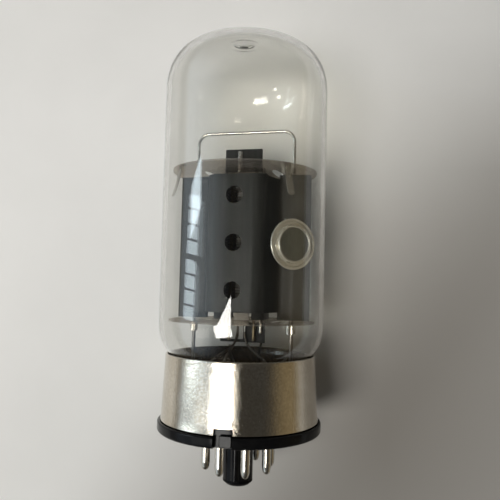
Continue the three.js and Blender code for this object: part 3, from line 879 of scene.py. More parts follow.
# ---------------------------------------------------------------------------------------------- envelope
@dataclass
class Envelope:
    """The glass: bulb, stem and exhaust tube."""

    wall: float = 1.2 * MM
    shoulder: float = seat(89.4)
    neck_radius: float = 18.6 * MM
    neck_top: float = seat(18.2)
    full_height: float = seat(28.5)
    neck_bend: float = 2.6
    neck_blend: float = 0.04
    dome_power_z: float = 2.45
    dome_power_r: float = 3.3
    tip_off_axis: float = 3.0 * MM
    tip_dent: Pair = (0.75 * MM, 1.5 * MM)
    tip_ring: tuple[float, float, float] = (0.16 * MM, 3.3 * MM, 0.8 * MM)
    tip_zone: float = 12 * MM
    lead_pins: tuple[int, ...] = (2, 3, 4, 5, 7, 8)
    glass: bpy.types.Material = field(default_factory=lambda: ClearGlass().build())

    def neck_line(self, inset: float) -> Array:
        """Return the neck's radius and height.

        With v running from 0 at the narrow neck to 1 at full width, r = R - (R - Rn)(1 - v)^2.6. Near 0, v
        leaves the level by a hyperbola, w/2 + sqrt(w^2 + e^2)/2, so that the neck has no crease.

        Args:
            inset: distance in from the outer surface.

        Returns:
            Radius and height of each point, from the bottom up.
        """
        low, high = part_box("glass_bulb")
        z = np.concatenate([[low.z], np.linspace(self.neck_top - 3 * MM, self.full_height, 40)])
        w = ((z - self.neck_top) / (self.full_height - self.neck_top) - 0.1) / 0.9
        v = np.clip(0.5 * (w + np.sqrt(w**2 + self.neck_blend**2)), 0, 1)
        r = high.x - (high.x - self.neck_radius) * (1 - v) ** self.neck_bend
        return np.stack([r - inset, z], axis=1)

    def dome_line(self, inset: float) -> Array:
        """Return the dome's radius and height: r = R (cos t)^(2/3.3), z = zs + H (sin t)^(2/2.45).

        Args:
            inset: distance in from the outer surface.

        Returns:
            Radius and height of each point, from the shoulder up to the axis.
        """
        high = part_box("glass_bulb")[1]
        t = np.pi / 2 * (1 - np.linspace(1, 0, 90) ** 1.65)
        r = (high.x - inset) * np.cos(t).clip(0, 1) ** (2 / self.dome_power_r)
        z = self.shoulder + (high.z - self.shoulder - inset) * np.sin(t) ** (2 / self.dome_power_z)
        r[-1] = 0.0
        return np.stack([r, z], axis=1)

    def sealed_tip(self, shape: Shape) -> Shape:
        """Press the sealed-off tip into the dome, a little off the axis.

        With d the distance in plan from the tip, z falls by 0.75 mm e^-(d/1.5)^2 on both surfaces, and rises
        by 0.16 mm e^-((d-3.3)/0.8)^2 as a soft ring round it.

        Args:
            shape: the bulb.

        Returns:
            The bulb with its tip.
        """
        x, y = self.tip_off_axis * math.sin(FACING_TURN) * -1.0, -self.tip_off_axis * math.cos(FACING_TURN)
        d = np.hypot(shape.points[:, 0] - x, shape.points[:, 1] - y)
        up = shape.points[:, 2] > self.shoulder + self.tip_zone
        depth, width = self.tip_dent
        rise, radius, breadth = self.tip_ring
        ring = rise * np.exp(-(((d - radius) / breadth) ** 2))
        change = ring - depth * np.exp(-((d / width) ** 2))
        points = shape.points.copy()
        points[:, 2] += np.where(up, change, 0.0)
        return Shape(points, shape.faces)

    def bulb(self) -> None:
        """Build the bulb with its true wall, so that its edges bend the light as thick glass does."""
        outer = np.concatenate([self.neck_line(0.0), self.dome_line(0.0)])
        inner = np.concatenate([self.neck_line(self.wall), self.dome_line(self.wall)])
        shape = turned_shape(np.concatenate([outer[::-1], inner]), 160)
        finish_piece("bulb_glass", self.sealed_tip(shape), self.glass, "glass_bulb", sharp=60)

    def stem(self) -> None:
        """Build the pressed stem: a thick glass button with a raised bead at each lead."""
        low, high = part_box("glass_stem")
        edge = high.x
        profile = rounded_profile([
            (0, low.z, 0), (edge - 1.5 * MM, low.z, 0.4 * MM), (edge, low.z + 1.2 * MM, 0.5 * MM),
            (edge, high.z - 0.2 * MM, 0.3 * MM), (13 * MM, high.z + 0.1 * MM, 1 * MM),
            (6 * MM, high.z - 0.8 * MM, 2 * MM), (0, high.z - 0.6 * MM, 0),
        ])
        shape = turned_shape(profile, 96)
        leads = [pin_place(number) for number in self.lead_pins]
        for x, y in (*leads, *cage_points([(-ROD_X, 0.0), (ROD_X, 0.0)])):
            bead = rounded_profile([
                (0.35 * MM, high.z - 1.0 * MM, 0), (1.25 * MM, high.z - 1.0 * MM, 0.1 * MM),
                (0.9 * MM, high.z + 0.6 * MM, 0.5 * MM), (0.35 * MM, high.z + 1.1 * MM, 0),
            ])
            shape = shape + turned_shape(bead, 20, closed=True).shifted(x, y)
        finish_piece("stem_glass", shape, self.glass, "glass_stem")

    def build(self) -> None:
        """Build the glass and give the exhaust tube its material."""
        self.bulb()
        self.stem()
        for slot in bpy.data.objects["exhaust_tube"].material_slots:
            slot.link = "OBJECT"
            slot.material = self.glass


def pin_place(number: int) -> Pair:
    """Return x and y of a pin, as the middle of its node."""
    low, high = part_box(f"pin_{number}")
    return (low.x + high.x) / 2, (low.y + high.y) / 2


def cage_points(points_mm: Sequence[Pair]) -> list[Pair]:
    """Return points of the turned cage, given in millimetres along its own axes, in the part's frame."""
    c, s = math.cos(CAGE_TWIST), math.sin(CAGE_TWIST)
    return [((x * c - y * s) * MM, (x * s + y * c) * MM) for x, y in points_mm]


def cage_point(x: float, y: float, z: float) -> tuple[float, float, float]:
    """Return one cage point in the part's frame, with its height above the wafer's underside."""
    (px, py), = cage_points([(x, y)])
    return px, py, seat(z)


# ---------------------------------------------------------------------------------------------- base
@dataclass
class Base:
    """Metal sleeve, phenolic wafer with plug, cement and pins."""

    sleeve_wall: float = 0.35 * MM
    sleeve_head: float = 19.95 * MM
    sleeve_flare: float = 0.12 * MM
    flare_height: float = 0.7 * MM
    rim_height: float = 0.7 * MM
    rim_roll: float = 0.32 * MM
    rim_lift: float = 0.34 * MM
    notch_half: float = 2.3 * MM
    notch_top: float = seat(4.5)
    key_half: float = 1.15 * MM
    key_reach: float = 4.95 * MM
    key_bottom: float = seat(-12.9)
    key_lead: float = 0.5 * MM
    key_crown: float = 0.5 * MM
    plug_radius: float = 3.93 * MM
    wafer_top: float = seat(2.7)
    wafer_bore: float = 3.5 * MM
    groove: Pair = (13.4 * MM, 18.2 * MM)
    groove_depth: float = 0.35 * MM
    collar: Pair = (18.2 * MM, 19.85 * MM)
    slot_half: float = 2.3 * MM
    slot_floor: float = 19.95 * MM
    tab_sides: Pair = (-0.85 * MM, 2.1 * MM)
    tab_ends: Pair = (seat(0.35), seat(3.0))
    tab_reach: tuple[float, float, float] = (20.9 * MM, 20.75 * MM, 18.6 * MM)
    cement_inner: float = 18.85 * MM
    cement_outer: float = 19.3 * MM
    cement_top: float = seat(19.35)
    cement_wave: float = 0.18 * MM
    pin_radius: float = 1.18 * MM
    pin_top: float = seat(3.0)
    pins: tuple[int, ...] = (1, 2, 3, 4, 5, 7, 8)
    nickel: bpy.types.Material = field(default_factory=lambda: SatinNickel().build())
    phenolic: bpy.types.Material = field(default_factory=lambda: BlackPhenolic().build())
    cement: bpy.types.Material = field(default_factory=lambda: BrownCement().build())
    tinned: bpy.types.Material = field(default_factory=lambda: DrawnWire(
        "tinned_pin", (0.62, 0.59, 0.53), (0.5, 0.465, 0.41), (0.16, 0.28)).build())

    def sleeve(self) -> None:
        """Build the sleeve with its rolled rim and its notch.

        For each angle t round the axis the profile is a loop: up the outside from the lower edge, over a
        rolled rim, and down the inside. The lower edge is a step function of t, raised inside the notch.
        """
        low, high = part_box("base_sleeve")
        foot, head, top = high.x, self.sleeve_head, high.z - self.rim_height
        t, in_notch = angles_with_gap(math.asin(self.notch_half / foot), 9, 180, 0.01)
        start = np.where(in_notch, self.notch_top, low.z)
        rise = np.linspace(0, 1, 14)[None]
        z_out = start + (top - start) * rise
        r_out = foot + (head - foot) * (z_out - low.z) / (top - low.z)
        r_out = r_out + self.sleeve_flare * np.exp(-(((z_out - low.z) / self.flare_height) ** 2))
        a = np.linspace(0, np.pi * 0.95, 12)[None]
        r_roll = head - self.rim_roll + self.rim_roll * np.cos(a) + 0 * start
        z_roll = top + self.rim_lift + self.rim_roll * np.sin(a) + 0 * start
        r_in, z_in = r_out[:, ::-1] - self.sleeve_wall, z_out[:, ::-1]
        r = np.concatenate([r_out, r_roll, r_in], axis=1)
        z = np.concatenate([z_out, z_roll, z_in], axis=1)
        shape = grid_shape(turned_rows(r, z, t), wrap_rows=True, wrap_columns=True)
        finish_piece("nickel_sleeve", shape, self.nickel, "base_sleeve")

    def plug(self) -> Shape:
        """Turn the plug's shaft, whose radius grows to reach - h (t/T)^2 across the key's crowned face.

        Returns:
            The plug.
        """
        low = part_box("base_wafer")[0]
        half = math.asin(self.key_half / self.plug_radius)
        side = math.atan2(self.key_half, self.key_reach)
        t = np.concatenate([
            np.linspace(-side, side, 7), [half], np.linspace(half + 0.02, 2 * np.pi - half - 0.02, 60),
            [2 * np.pi - half],
        ])[:, None]
        on_key = (np.arange(len(t)) < 7)[:, None]
        profile = rounded_profile([
            (0, low.z, 0), (self.plug_radius - 0.9 * MM, low.z, 0.5 * MM),
            (self.plug_radius, low.z + 1.0 * MM, 0.5 * MM), (self.plug_radius, seat(0.5), 0),
        ])
        steps = (self.key_bottom - 0.4 * MM, self.key_bottom, self.key_bottom + self.key_lead)
        at_key = np.array([[self.plug_radius, step] for step in steps])
        line = np.concatenate([profile[:-1], at_key, profile[-1:]])
        r, z = line[None, :, 0] + 0 * t, line[None, :, 1] + 0 * t
        raised = np.clip((z - self.key_bottom) / self.key_lead, 0, 1)
        crown = self.key_reach - self.key_crown * (t / side) ** 2
        r = np.where(on_key, r + (crown - self.plug_radius) * raised, r)
        return grid_shape(turned_rows(r, z, t), wrap_rows=True)

    def disc(self) -> Shape:
        """Turn the wafer's disc from a profile whose radius is cut back to the slot's floor inside the slot.

        Returns:
            The disc.
        """
        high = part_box("base_wafer")[1]
        rim, bottom, top, bore = high.x, seat(0), self.wafer_top, self.wafer_bore
        inner, outer = self.groove
        within, out = self.collar
        depth, soft, bevel = bottom + self.groove_depth, 0.2 * MM, 0.4 * MM
        profile = rounded_profile([
            (bore, bottom + 0.1 * MM, 0), (inner - bevel, bottom, 0.5 * MM), (inner, depth, soft),
            (outer, depth, soft), (outer + bevel, bottom, soft), (rim - bevel, bottom, soft),
            (rim, bottom + bevel, 0.25 * MM), (rim, top - 0.3 * MM, soft), (rim - 0.3 * MM, top, soft),
            (out, top, 0), (out, high.z, soft), (within, high.z, soft), (within, top, 0), (bore, top, 0),
        ], 4)
        t, in_slot = angles_with_gap(self.slot_half / rim, 9, 170, 0.02)
        r, z = profile[None, :, 0] + 0 * t, profile[None, :, 1] + 0 * t
        r = np.where(in_slot, np.minimum(r, self.slot_floor), r)
        return grid_shape(turned_rows(r, z, t), wrap_rows=True, wrap_columns=True)

    def wafer(self) -> None:
        """Build the wafer: a moulded disc with a collar, pin bosses, the locating tab and the plug."""
        bottom = seat(0)
        boss = turned_shape(rounded_profile([
            (1.22 * MM, bottom + 0.5 * MM, 0), (1.22 * MM, bottom - 0.2 * MM, 0),
            (1.9 * MM, bottom - 0.2 * MM, 0.15 * MM), (2.1 * MM, bottom + 0.5 * MM, 0),
        ]), 28, closed=True)
        shape = self.disc() + self.plug() + self.tab()
        for number in self.pins:
            shape = shape + boss.shifted(*pin_place(number))
        finish_piece("phenolic_wafer", shape, self.phenolic, "base_wafer")

    def tab(self) -> Shape:
        """Carry the locating tab's rounded outline inwards from its bevelled front face.

        Returns:
            The tab.
        """
        (left, right), (bottom, top) = self.tab_sides, self.tab_ends
        loop = box_loop(left, right, bottom, top, 0.3 * MM)
        centre = np.array([(left + right) / 2, (bottom + top) / 2])
        reach = np.array(self.tab_reach)[:, None]
        scale = np.array([0.9, 1.0, 1.0])[:, None, None]
        ring = centre + (loop[None] - centre) * scale
        points = np.stack([ring[..., 0], 0 * ring[..., 0] - reach, ring[..., 1]], axis=-1)
        front = np.repeat(points[:1].mean(1, keepdims=True), len(loop), axis=1)
        back = np.repeat(points[-1:].mean(1, keepdims=True), len(loop), axis=1)
        return grid_shape(np.concatenate([front, points, back]), wrap_columns=True)

    def cement_ring(self) -> None:
        """Build the cement between neck and sleeve.

        Its uneven top edge, which shows at the sleeve's mouth, is a sum of three sine waves round the axis.
        """
        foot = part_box("base_cement")[0].z
        t = np.linspace(0, 2 * np.pi, 180, endpoint=False)[:, None]
        wave = self.cement_wave * (np.sin(5 * t + 1.0) + 0.6 * np.sin(13 * t) + 0.5 * np.sin(29 * t + 2.0))
        top = self.cement_top + wave
        inner, outer = self.cement_inner, self.cement_outer
        level = 0 * t
        r = np.concatenate([inner + level, outer + level, outer + level, outer - 0.2 * MM + level,
                            inner + 0.1 * MM + level, inner + level], axis=1)
        z = np.concatenate([foot + level, foot + level, top - 0.3 * MM, top, top - 0.05 * MM,
                            seat(17) + level], axis=1)
        points = np.stack([r * np.cos(t), r * np.sin(t), z], axis=-1)
        shape = grid_shape(points, wrap_rows=True, wrap_columns=True)
        finish_piece("basing_cement", shape, self.cement, "base_cement")

    def pin(self, number: int) -> None:
        """Build one hollow pin with a soldered, slightly uneven round tip.

        Args:
            number: the pin's number.
        """
        node = f"pin_{number}"
        low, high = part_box(node)
        tip, top, r, bore, flange = low.z, self.pin_top, self.pin_radius, 0.85 * MM, 0.5 * MM
        bulge = 0.06 * MM * math.sin(number * 2.3)
        profile = rounded_profile([
            (0, tip, 0), (0.55 * MM + bulge, tip, 0.3 * MM), (0.98 * MM, tip + 0.7 * MM, 0.4 * MM),
            (1.08 * MM + bulge, tip + 1.3 * MM, 0.4 * MM), (r, tip + 1.9 * MM, 0.3 * MM), (r, top, 0),
            (r + flange, top, 0.1 * MM), (r + flange, high.z, 0.2 * MM), (bore, high.z, 0.1 * MM),
            (bore, tip + 2.2 * MM, 0.3 * MM), (0, tip + 1.9 * MM, 0),
        ], 6)
        shape = turned_shape(profile, 40).shifted(*pin_place(number))
        finish_piece(f"solder_{node}", shape, self.tinned, node)

    def build(self) -> None:
        """Build every piece of the base."""
        self.sleeve()
        self.wafer()
        self.cement_ring()
        for number in self.pins:
            self.pin(number)


# ---------------------------------------------------------------------------------------------- cage sheets
@dataclass
class Anode:
    """The two stamped anode halves with their side fins."""

    sheet: float = 0.22 * MM
    fin_reach: float = 18.15 * MM
    fin_root: float = 10.1 * MM
    fin_offset: float = 0.32 * MM
    shoulder: Pair = (7.2 * MM, 9.1 * MM)
    front: Pair = (5.4 * MM, 10.6 * MM)
    bend_radius: float = 0.9 * MM
    crease_half: float = 3.0 * MM
    crease_depth: float = 0.42 * MM
    crease_bend: float = 2.2
    box_ends: Pair = (seat(31.0), seat(66.3))
    hole_radius: float = 2.2 * MM
    hole_heights: tuple[float, ...] = (seat(36.6), seat(48.7), seat(60.9))
    channel_back: Pair = (6.7 * MM, 4.0 * MM)
    channel_lip: Pair = (3.7 * MM, 4.7 * MM)
    channel_bend: float = 0.8 * MM
    skin: bpy.types.Material = field(default_factory=lambda: CarbonisedSheet().build())

    def plan(self) -> Array:
        """Draw the sheet's centre line in plan, from the left fin's edge to the right one's.

        It is a line of straight runs with round bends. The fins swell round the rods by
        d e^(-2.2 ((|x| - rod)/w)^2).

        Returns:
            x, y and the run along the sheet, measured from its middle, of each point.
        """
        half = rounded_profile([
            (-self.fin_reach, -self.fin_offset, 0), (-self.fin_root, -self.fin_offset, self.bend_radius),
            (-self.shoulder[0], -self.shoulder[1], self.bend_radius * 1.2),
            (-self.front[0], -self.front[1], self.bend_radius * 1.2), (0, -self.front[1], 0),
        ], 9)
        line = np.concatenate([half[:-1], half[::-1] * [-1, 1]])
        run = np.concatenate([[0], np.cumsum(np.linalg.norm(np.diff(line, axis=0), axis=1))])
        even = np.linspace(0, run[-1], 420)
        x, y = np.interp(even, run, line[:, 0]), np.interp(even, run, line[:, 1])
        swell = np.exp(-(((np.abs(x) - ROD_X * MM) / self.crease_half) ** 2) * self.crease_bend)
        return np.stack([x, y - self.crease_depth * swell, even - run[-1] / 2], axis=1)

    def bend(self, flat: Array) -> tuple[Array, Array]:
        """Carry pattern points onto the bent centre line.

        Args:
            flat: run along the sheet and height of each point.

        Returns:
            The places and the normals.
        """
        plan = self.plan()
        x = np.interp(flat[:, 0], plan[:, 2], plan[:, 0])
        y = np.interp(flat[:, 0], plan[:, 2], plan[:, 1])
        tangent = unit(np.gradient(plan[:, :2], axis=0))
        nx = np.interp(flat[:, 0], plan[:, 2], tangent[:, 1])
        ny = np.interp(flat[:, 0], plan[:, 2], -tangent[:, 0])
        normal = unit(np.stack([nx, ny, 0 * nx], axis=1))
        return np.stack([x, y, flat[:, 1]], axis=1), normal

    def pattern(self) -> tuple[Array, list[Array]]:
        """Draw the flat pattern, with the box part cut shorter than the fins.

        Returns:
            The outline and the three holes.
        """
        low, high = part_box("anode_front")
        plan = self.plan()
        edge = plan[-1, 2]
        root = float(np.interp(self.fin_root - 0.2 * MM, plan[plan[:, 0] > 0, 0], plan[plan[:, 0] > 0, 2]))
        deep, short = self.box_ends
        fine = np.linspace(-root, root, 90)[1:-1]
        up = np.linspace(low.z, high.z, 40)[1:-1]
        outline = np.concatenate([
            [[-edge, low.z], [-root, low.z], [-root, deep]], np.stack([fine, 0 * fine + deep], axis=1),
            [[root, deep], [root, low.z], [edge, low.z]], np.stack([0 * up + edge, up], axis=1),
            [[edge, high.z], [root, high.z], [root, short]], np.stack([fine[::-1], 0 * fine + short], axis=1),
            [[-root, short], [-root, high.z], [-edge, high.z]], np.stack([0 * up - edge, up[::-1]], axis=1),
        ])
        holes = [ring_loop(0.0, z, self.hole_radius, self.hole_radius, 40) for z in self.hole_heights]
        return outline, holes

    def half(self, face: Face) -> None:
        """Build one half.

        Args:
            face: whether it is turned to the front or the back.
        """
        outline, holes = self.pattern()
        shape = sheet_shape(outline, holes, self.bend, self.sheet, (0.42 * MM, 1.2 * MM))
        name = face.name.lower()
        made = shape.turned(CAGE_TWIST + face.value)
        finish_piece(f"anode_plate_{name}", made, self.skin, f"anode_{name}", sharp=50)

    def beam_plate(self, side: Side) -> None:
        """Build one beam-forming plate: a channel whose lips turn in towards the grids.

        Args:
            side: the side of the cage that it stands on.
        """
        low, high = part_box("beam_plate_left")
        node = f"beam_plate_{side.name.lower()}"
        (back, deep), (lip, wide) = self.channel_back, self.channel_lip
        corners = [(lip, -wide), (back, -deep), (back, deep), (lip, wide)]
        line = rounded_profile([(side.value * x, y, self.channel_bend) for x, y in corners], 6)
        shape = strip_shape(line, low.z, high.z, self.sheet)
        finish_piece(f"{node}_channel", shape.turned(CAGE_TWIST), self.skin, node)

    def build(self) -> None:
        """Build the anode halves and the beam plates."""
        for face in Face:
            self.half(face)
        for side in Side:
            self.beam_plate(side)


def strip_shape(line: Array, low: float, high: float, thickness: float) -> Shape:
    """Raise a bent line as a sheet, whose faces lie half a thickness to either side of it.

    Args:
        line: x and y of the line's points.
        low: lower edge.
        high: upper edge.
        thickness: thickness of the sheet.

    Returns:
        The closed strip.
    """
    tangent = unit(np.gradient(line, axis=0))
    normal = np.stack([-tangent[:, 1], tangent[:, 0]], axis=1)
    outer, inner = line + normal * thickness / 2, line - normal * thickness / 2
    loop = np.concatenate([outer, inner[::-1]])
    rows = [np.concatenate([loop, np.full((len(loop), 1), level)], axis=1) for level in (low, high)]
    body = grid_shape(np.stack(rows), wrap_columns=True)
    count = len(line)
    a = np.arange(count - 1)
    cap = np.stack([a, a + 1, 2 * count - 2 - a, 2 * count - 1 - a], axis=1)
    return Shape(body.points, body.faces + cap.tolist() + (cap + 2 * count).tolist())


def upright_path(node: str, x_mm: float, count: int) -> Array:
    """Draw a straight upright line over a node's height.

    Args:
        node: the frame's node.
        x_mm: its place to the right of the cage's middle, in millimetres.
        count: number of points.

    Returns:
        The points.
    """
    low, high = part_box(node)
    z = np.linspace(low.z, high.z, count)
    (x, y), = cage_points([(x_mm, 0)])
    return np.stack([0 * z + x, 0 * z + y, z], axis=1)


def lipped_line(sides: Pair, lip: float, depths: Pair, corner: float) -> Array:
    """Draw a strip's line in plan, with a short lip bent back at each side.

    Args:
        sides: x of the left and the right lip's edge.
        lip: width of a lip.
        depths: y of the lips' edges and of the flat between them.
        corner: rounding of the bends.

    Returns:
        The line's points.
    """
    (left, right), (edge, flat) = sides, depths
    return rounded_profile([(left, edge, 0), (left + lip, flat, corner), (right - lip, flat, corner),
                            (right, edge, 0)], 4)


@dataclass
class Micas:
    """The two mica discs that hold the cage."""

    thickness: float = 0.32 * MM
    rod_hole: float = 0.62 * MM
    grid_hole: float = 0.55 * MM
    cathode_hole: Pair = (2.1 * MM, 0.8 * MM)
    slot_x: float = 9.2 * MM
    slot: Pair = (1.2 * MM, 6.2 * MM)
    mica: bpy.types.Material = field(default_factory=lambda: MicaSheet().build())

    def holes(self) -> list[Array]:
        """Draw the openings of a disc: for the rods, the grid rods, the slots beside the box and the cathode.

        Returns:
            The loops.
        """
        loops = []
        for side in Side:
            s = side.value * MM
            loops.append(ring_loop(s * ROD_X, 0, self.rod_hole, self.rod_hole, 18))
            loops.append(ring_loop(s * CONTROL_X, 0, self.grid_hole, self.grid_hole, 16))
            loops.append(ring_loop(s * SCREEN_X, 0, self.grid_hole, self.grid_hole, 16))
            loops.append(ring_loop(side.value * self.slot_x, 0, *self.slot, 40))
        loops.append(ring_loop(0, 0, *self.cathode_hole, 28))
        return loops

    def disc(self, node: str) -> None:
        """Build one disc, flat, with its openings cut clean.

        Args:
            node: the frame's node.
        """
        low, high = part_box(node)
        radius, middle = high.x, (low.z + high.z) / 2

        def flat(points: Array) -> tuple[Array, Array]:
            """Lay pattern points at the disc's height."""
            level = np.full((len(points), 1), middle)
            return np.concatenate([points, level], axis=1), np.tile([0.0, 0.0, 1.0], (len(points), 1))

        outline = ring_loop(0, 0, radius, radius, 160)
        shape = sheet_shape(outline, self.holes(), flat, self.thickness, (0, 0))
        finish_piece(f"{node}_disc", shape.turned(CAGE_TWIST), self.mica, node)

    def build(self) -> None:
        """Build both discs."""
        for node in ("top_mica", "bottom_mica"):
            self.disc(node)


# ---------------------------------------------------------------------------------------------- cage wires
@dataclass
class CageWires:
    """Support rods, collars, hoop, radiators, snubber springs and the getter."""

    rod_radius: float = 0.5 * MM
    strip: float = 0.2 * MM
    collar_half: Pair = (0.8 * MM, 0.88 * MM)
    collar_power: int = 5
    collar_gap: float = 0.3
    hoop_bend: float = 3.0 * MM
    hoop_wire: float = 0.43 * MM
    fin_sides: Pair = (-5.25 * MM, 4.9 * MM)
    fin_lip: float = 0.15 * MM
    fin_y: Pair = (-0.85 * MM, -1.15 * MM)
    fin_sheet: float = 0.22 * MM
    lower_fin_y: float = 1.0 * MM
    lower_fin_sheet: float = 0.25 * MM
    spring_line: tuple[Pair, ...] = (
        (17.3, 68.45), (18.2, 68.5), (18.55, 68.2), (18.7, 66.8), (19.3, 63.6), (20.25, 60.1),
    )
    spring_half: float = 0.95 * MM
    spring_sheet: float = 0.16 * MM
    spring_lean: float = math.radians(47.7)
    getter_place: tuple[float, float, float] = (14.16, -5.8, 48.67)
    getter_line: tuple[tuple[float, float, float], ...] = (
        (0, 0.75, 0), (4.55, 0.75, 0.1), (4.7, -0.1, 0.1), (6.5, 0, 0.12), (6.6, 0.45, 0.12),
        (6.45, 0.62, 0.1), (5.9, 0.62, 0.06), (5.72, 0.14, 0.08), (5.02, 0.14, 0.1), (4.86, 1.3, 0.1),
        (4.76, 1.42, 0.06), (4.38, 1.4, 0.06), (4.25, 1.02, 0.06), (0, 1.02, 0),
    )
    getter_turn: float = math.radians(43)
    getter_face: float = 4.22 * MM
    bright: bpy.types.Material = field(default_factory=lambda: DrawnWire().build())
    spring: bpy.types.Material = field(default_factory=lambda: DrawnWire(
        "grey_spring_strip", (0.4, 0.39, 0.355), (0.32, 0.31, 0.28), (0.2, 0.28), 0.75).build())
    dark: bpy.types.Material = field(default_factory=lambda: DrawnWire(
        "oxidised_wire", (0.2, 0.185, 0.165), (0.08, 0.07, 0.06), (0.22, 0.42)).build())
    skin: bpy.types.Material = field(default_factory=lambda: CarbonisedSheet(
        "carbonised_radiator", shine=(0.3, 0.5)).build())
    # A darker copy of the radiator finish: painted shade for the lower radiator.
    shaded_skin: bpy.types.Material = field(default_factory=lambda: CarbonisedSheet(
        "shaded_radiator", (0.006, 0.006, 0.0055), (0.01, 0.01, 0.009), (0.4, 0.55)).build())
    getter: bpy.types.Material = field(default_factory=lambda: DrawnWire(
        "cream_getter_metal", (0.68, 0.65, 0.57), (0.62, 0.595, 0.52), (0.12, 0.2), 0.7).build())
    flash: bpy.types.Material = field(default_factory=lambda: DrawnWire(
        "olive_getter_face", (0.075, 0.076, 0.06), (0.058, 0.059, 0.046), (0.45, 0.6), 0.3).build())

    def rod(self, side: Side) -> None:
        """Build one support rod, from the stem up through both micas.

        Args:
            side: the side of the cage.
        """
        node = f"support_rod_{side.name.lower()}"
        path = upright_path(node, ROD_X * side.value, 40)
        shape = wire_shape(path, self.rod_radius, (1, 0, 0), 16)
        finish_piece(f"{node}_wire", shape, self.dark, node)

    def collar(self, side: Side) -> None:
        """Build one folded collar: a strip wrapped round the rod, with its ends pinched together as an ear.

        The strip's loop is the rounded square (a cos t, b sin t) / (|cos t|^5 + |sin t|^5)^(1/5).

        Args:
            side: the side of the cage.
        """
        node = f"rod_collar_{side.name.lower()}"
        low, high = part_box(node)
        t = np.linspace(self.collar_gap, 2 * np.pi - self.collar_gap, 36)
        power = self.collar_power
        square = 1 / (np.abs(np.cos(t)) ** power + np.abs(np.sin(t)) ** power) ** (1 / power)
        a, b = self.collar_half
        ring = np.stack([a * square * np.cos(t), b * square * np.sin(t)], axis=1)
        ear = np.array([[2.0 * MM, 0.15 * MM], [1.25 * MM, 0.16 * MM]])
        line = np.concatenate([ear, ring, ear[::-1] * [1, -1]])
        turn = math.radians(-60 if side is Side.LEFT else -115)
        shape = strip_shape(line, low.z, high.z, self.strip).turned(turn)
        (x, y), = cage_points([(ROD_X * side.value, 0)])
        finish_piece(f"{node}_strip", shape.shifted(x, y), self.bright, node)

    def hoop(self) -> None:
        """Build the hoop: two legs and a bar joined by quarter ovals, drawn as one bent wire."""
        low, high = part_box("top_hoop")
        half, top, r = ROD_X * MM, high.z - 0.4 * MM, self.hoop_bend
        a = np.linspace(0, np.pi / 2, 14)
        leg = np.linspace(low.z, top - r, 12)[:-1]
        right = np.concatenate([
            np.stack([0 * leg + half, leg], axis=1),
            np.stack([half - r + r * np.cos(a), top - r + r * np.sin(a)], axis=1),
        ])
        bar = np.linspace(half - r, -half + r, 16)[1:-1]
        line = np.concatenate([right, np.stack([bar, 0 * bar + top], axis=1), (right * [-1, 1])[::-1]])
        path = np.stack([line[:, 0], 0 * line[:, 0], line[:, 1]], axis=1)
        shape = wire_shape(path, self.hoop_wire, (0, 1, 0), 16).turned(CAGE_TWIST)
        finish_piece("hoop_wire", shape, self.bright, "top_hoop")

    def radiators(self) -> None:
        """Build the two dark radiators: the upper one with its edges folded a little, the lower one a flat
        cut sheet.
        """
        low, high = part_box("top_radiator")
        line = lipped_line(self.fin_sides, self.fin_lip, self.fin_y, 0.1 * MM)
        top = strip_shape(line, low.z, high.z, self.fin_sheet).turned(CAGE_TWIST)
        finish_piece("top_radiator_fin", top, self.skin, "top_radiator")

        def upright(points: Array) -> tuple[Array, Array]:
            """Stand pattern points up in the plane of the lower radiator."""
            place = np.stack([points[:, 0], 0 * points[:, 0] + self.lower_fin_y, points[:, 1]], axis=1)
            return place, np.tile([0.0, -1.0, 0.0], (len(points), 1))

        low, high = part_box("bottom_radiator")
        bar = low.z + 0.7 * MM
        left, middle, right = -6.1 * MM, 0.3 * MM, 6.3 * MM
        outline = np.array([(left, low.z), (right, low.z), (right, high.z), (middle, high.z), (middle, bar),
                            (left, bar)])
        lower = sheet_shape(outline, [], upright, self.lower_fin_sheet, (0, 0)).turned(CAGE_TWIST)
        # The lower radiator takes the darker copy of the finish, as painted shade.
        finish_piece("bottom_radiator_fin", lower, self.shaded_skin, "bottom_radiator")

    def snubber(self, node: str, angle: float) -> None:
        """Build one spring, hooked over the disc and leaning out to the glass: a strip along a smooth line.

        Near its end the half width follows w sqrt(1 - s^2), as a round end does.

        Args:
            node: the frame's node.
            angle: its place round the cage.
        """
        line = smooth_path(self.spring_line, 40)
        r, z = line[:, 0] * MM, PLUG_LENGTH + line[:, 1] * MM
        run = np.linspace(0, 1, len(r))
        end = np.clip((run - 0.97) / 0.03, 0, 1)
        half = self.spring_half * np.sqrt(np.clip(1 - end**2, 0.1, 1))
        tangent = unit(np.gradient(np.stack([r, z], axis=1), axis=0))
        nr, nz = tangent[:, 1] * self.spring_sheet / 2, -tangent[:, 0] * self.spring_sheet / 2
        rows = [(nr, nz, -half), (nr, nz, half), (-nr, -nz, half), (-nr, -nz, -half)]
        ring = np.stack([np.stack([w + 0 * r, -(r + a), z + b], axis=1) for a, b, w in rows], axis=1)
        head, tail = (np.repeat(row.mean(1, keepdims=True), 4, axis=1) for row in (ring[:1], ring[-1:]))
        shape = grid_shape(np.concatenate([head, ring, tail]), wrap_columns=True).turned(angle + CAGE_TWIST)
        finish_piece(f"{node}_spring", shape, self.spring, node)

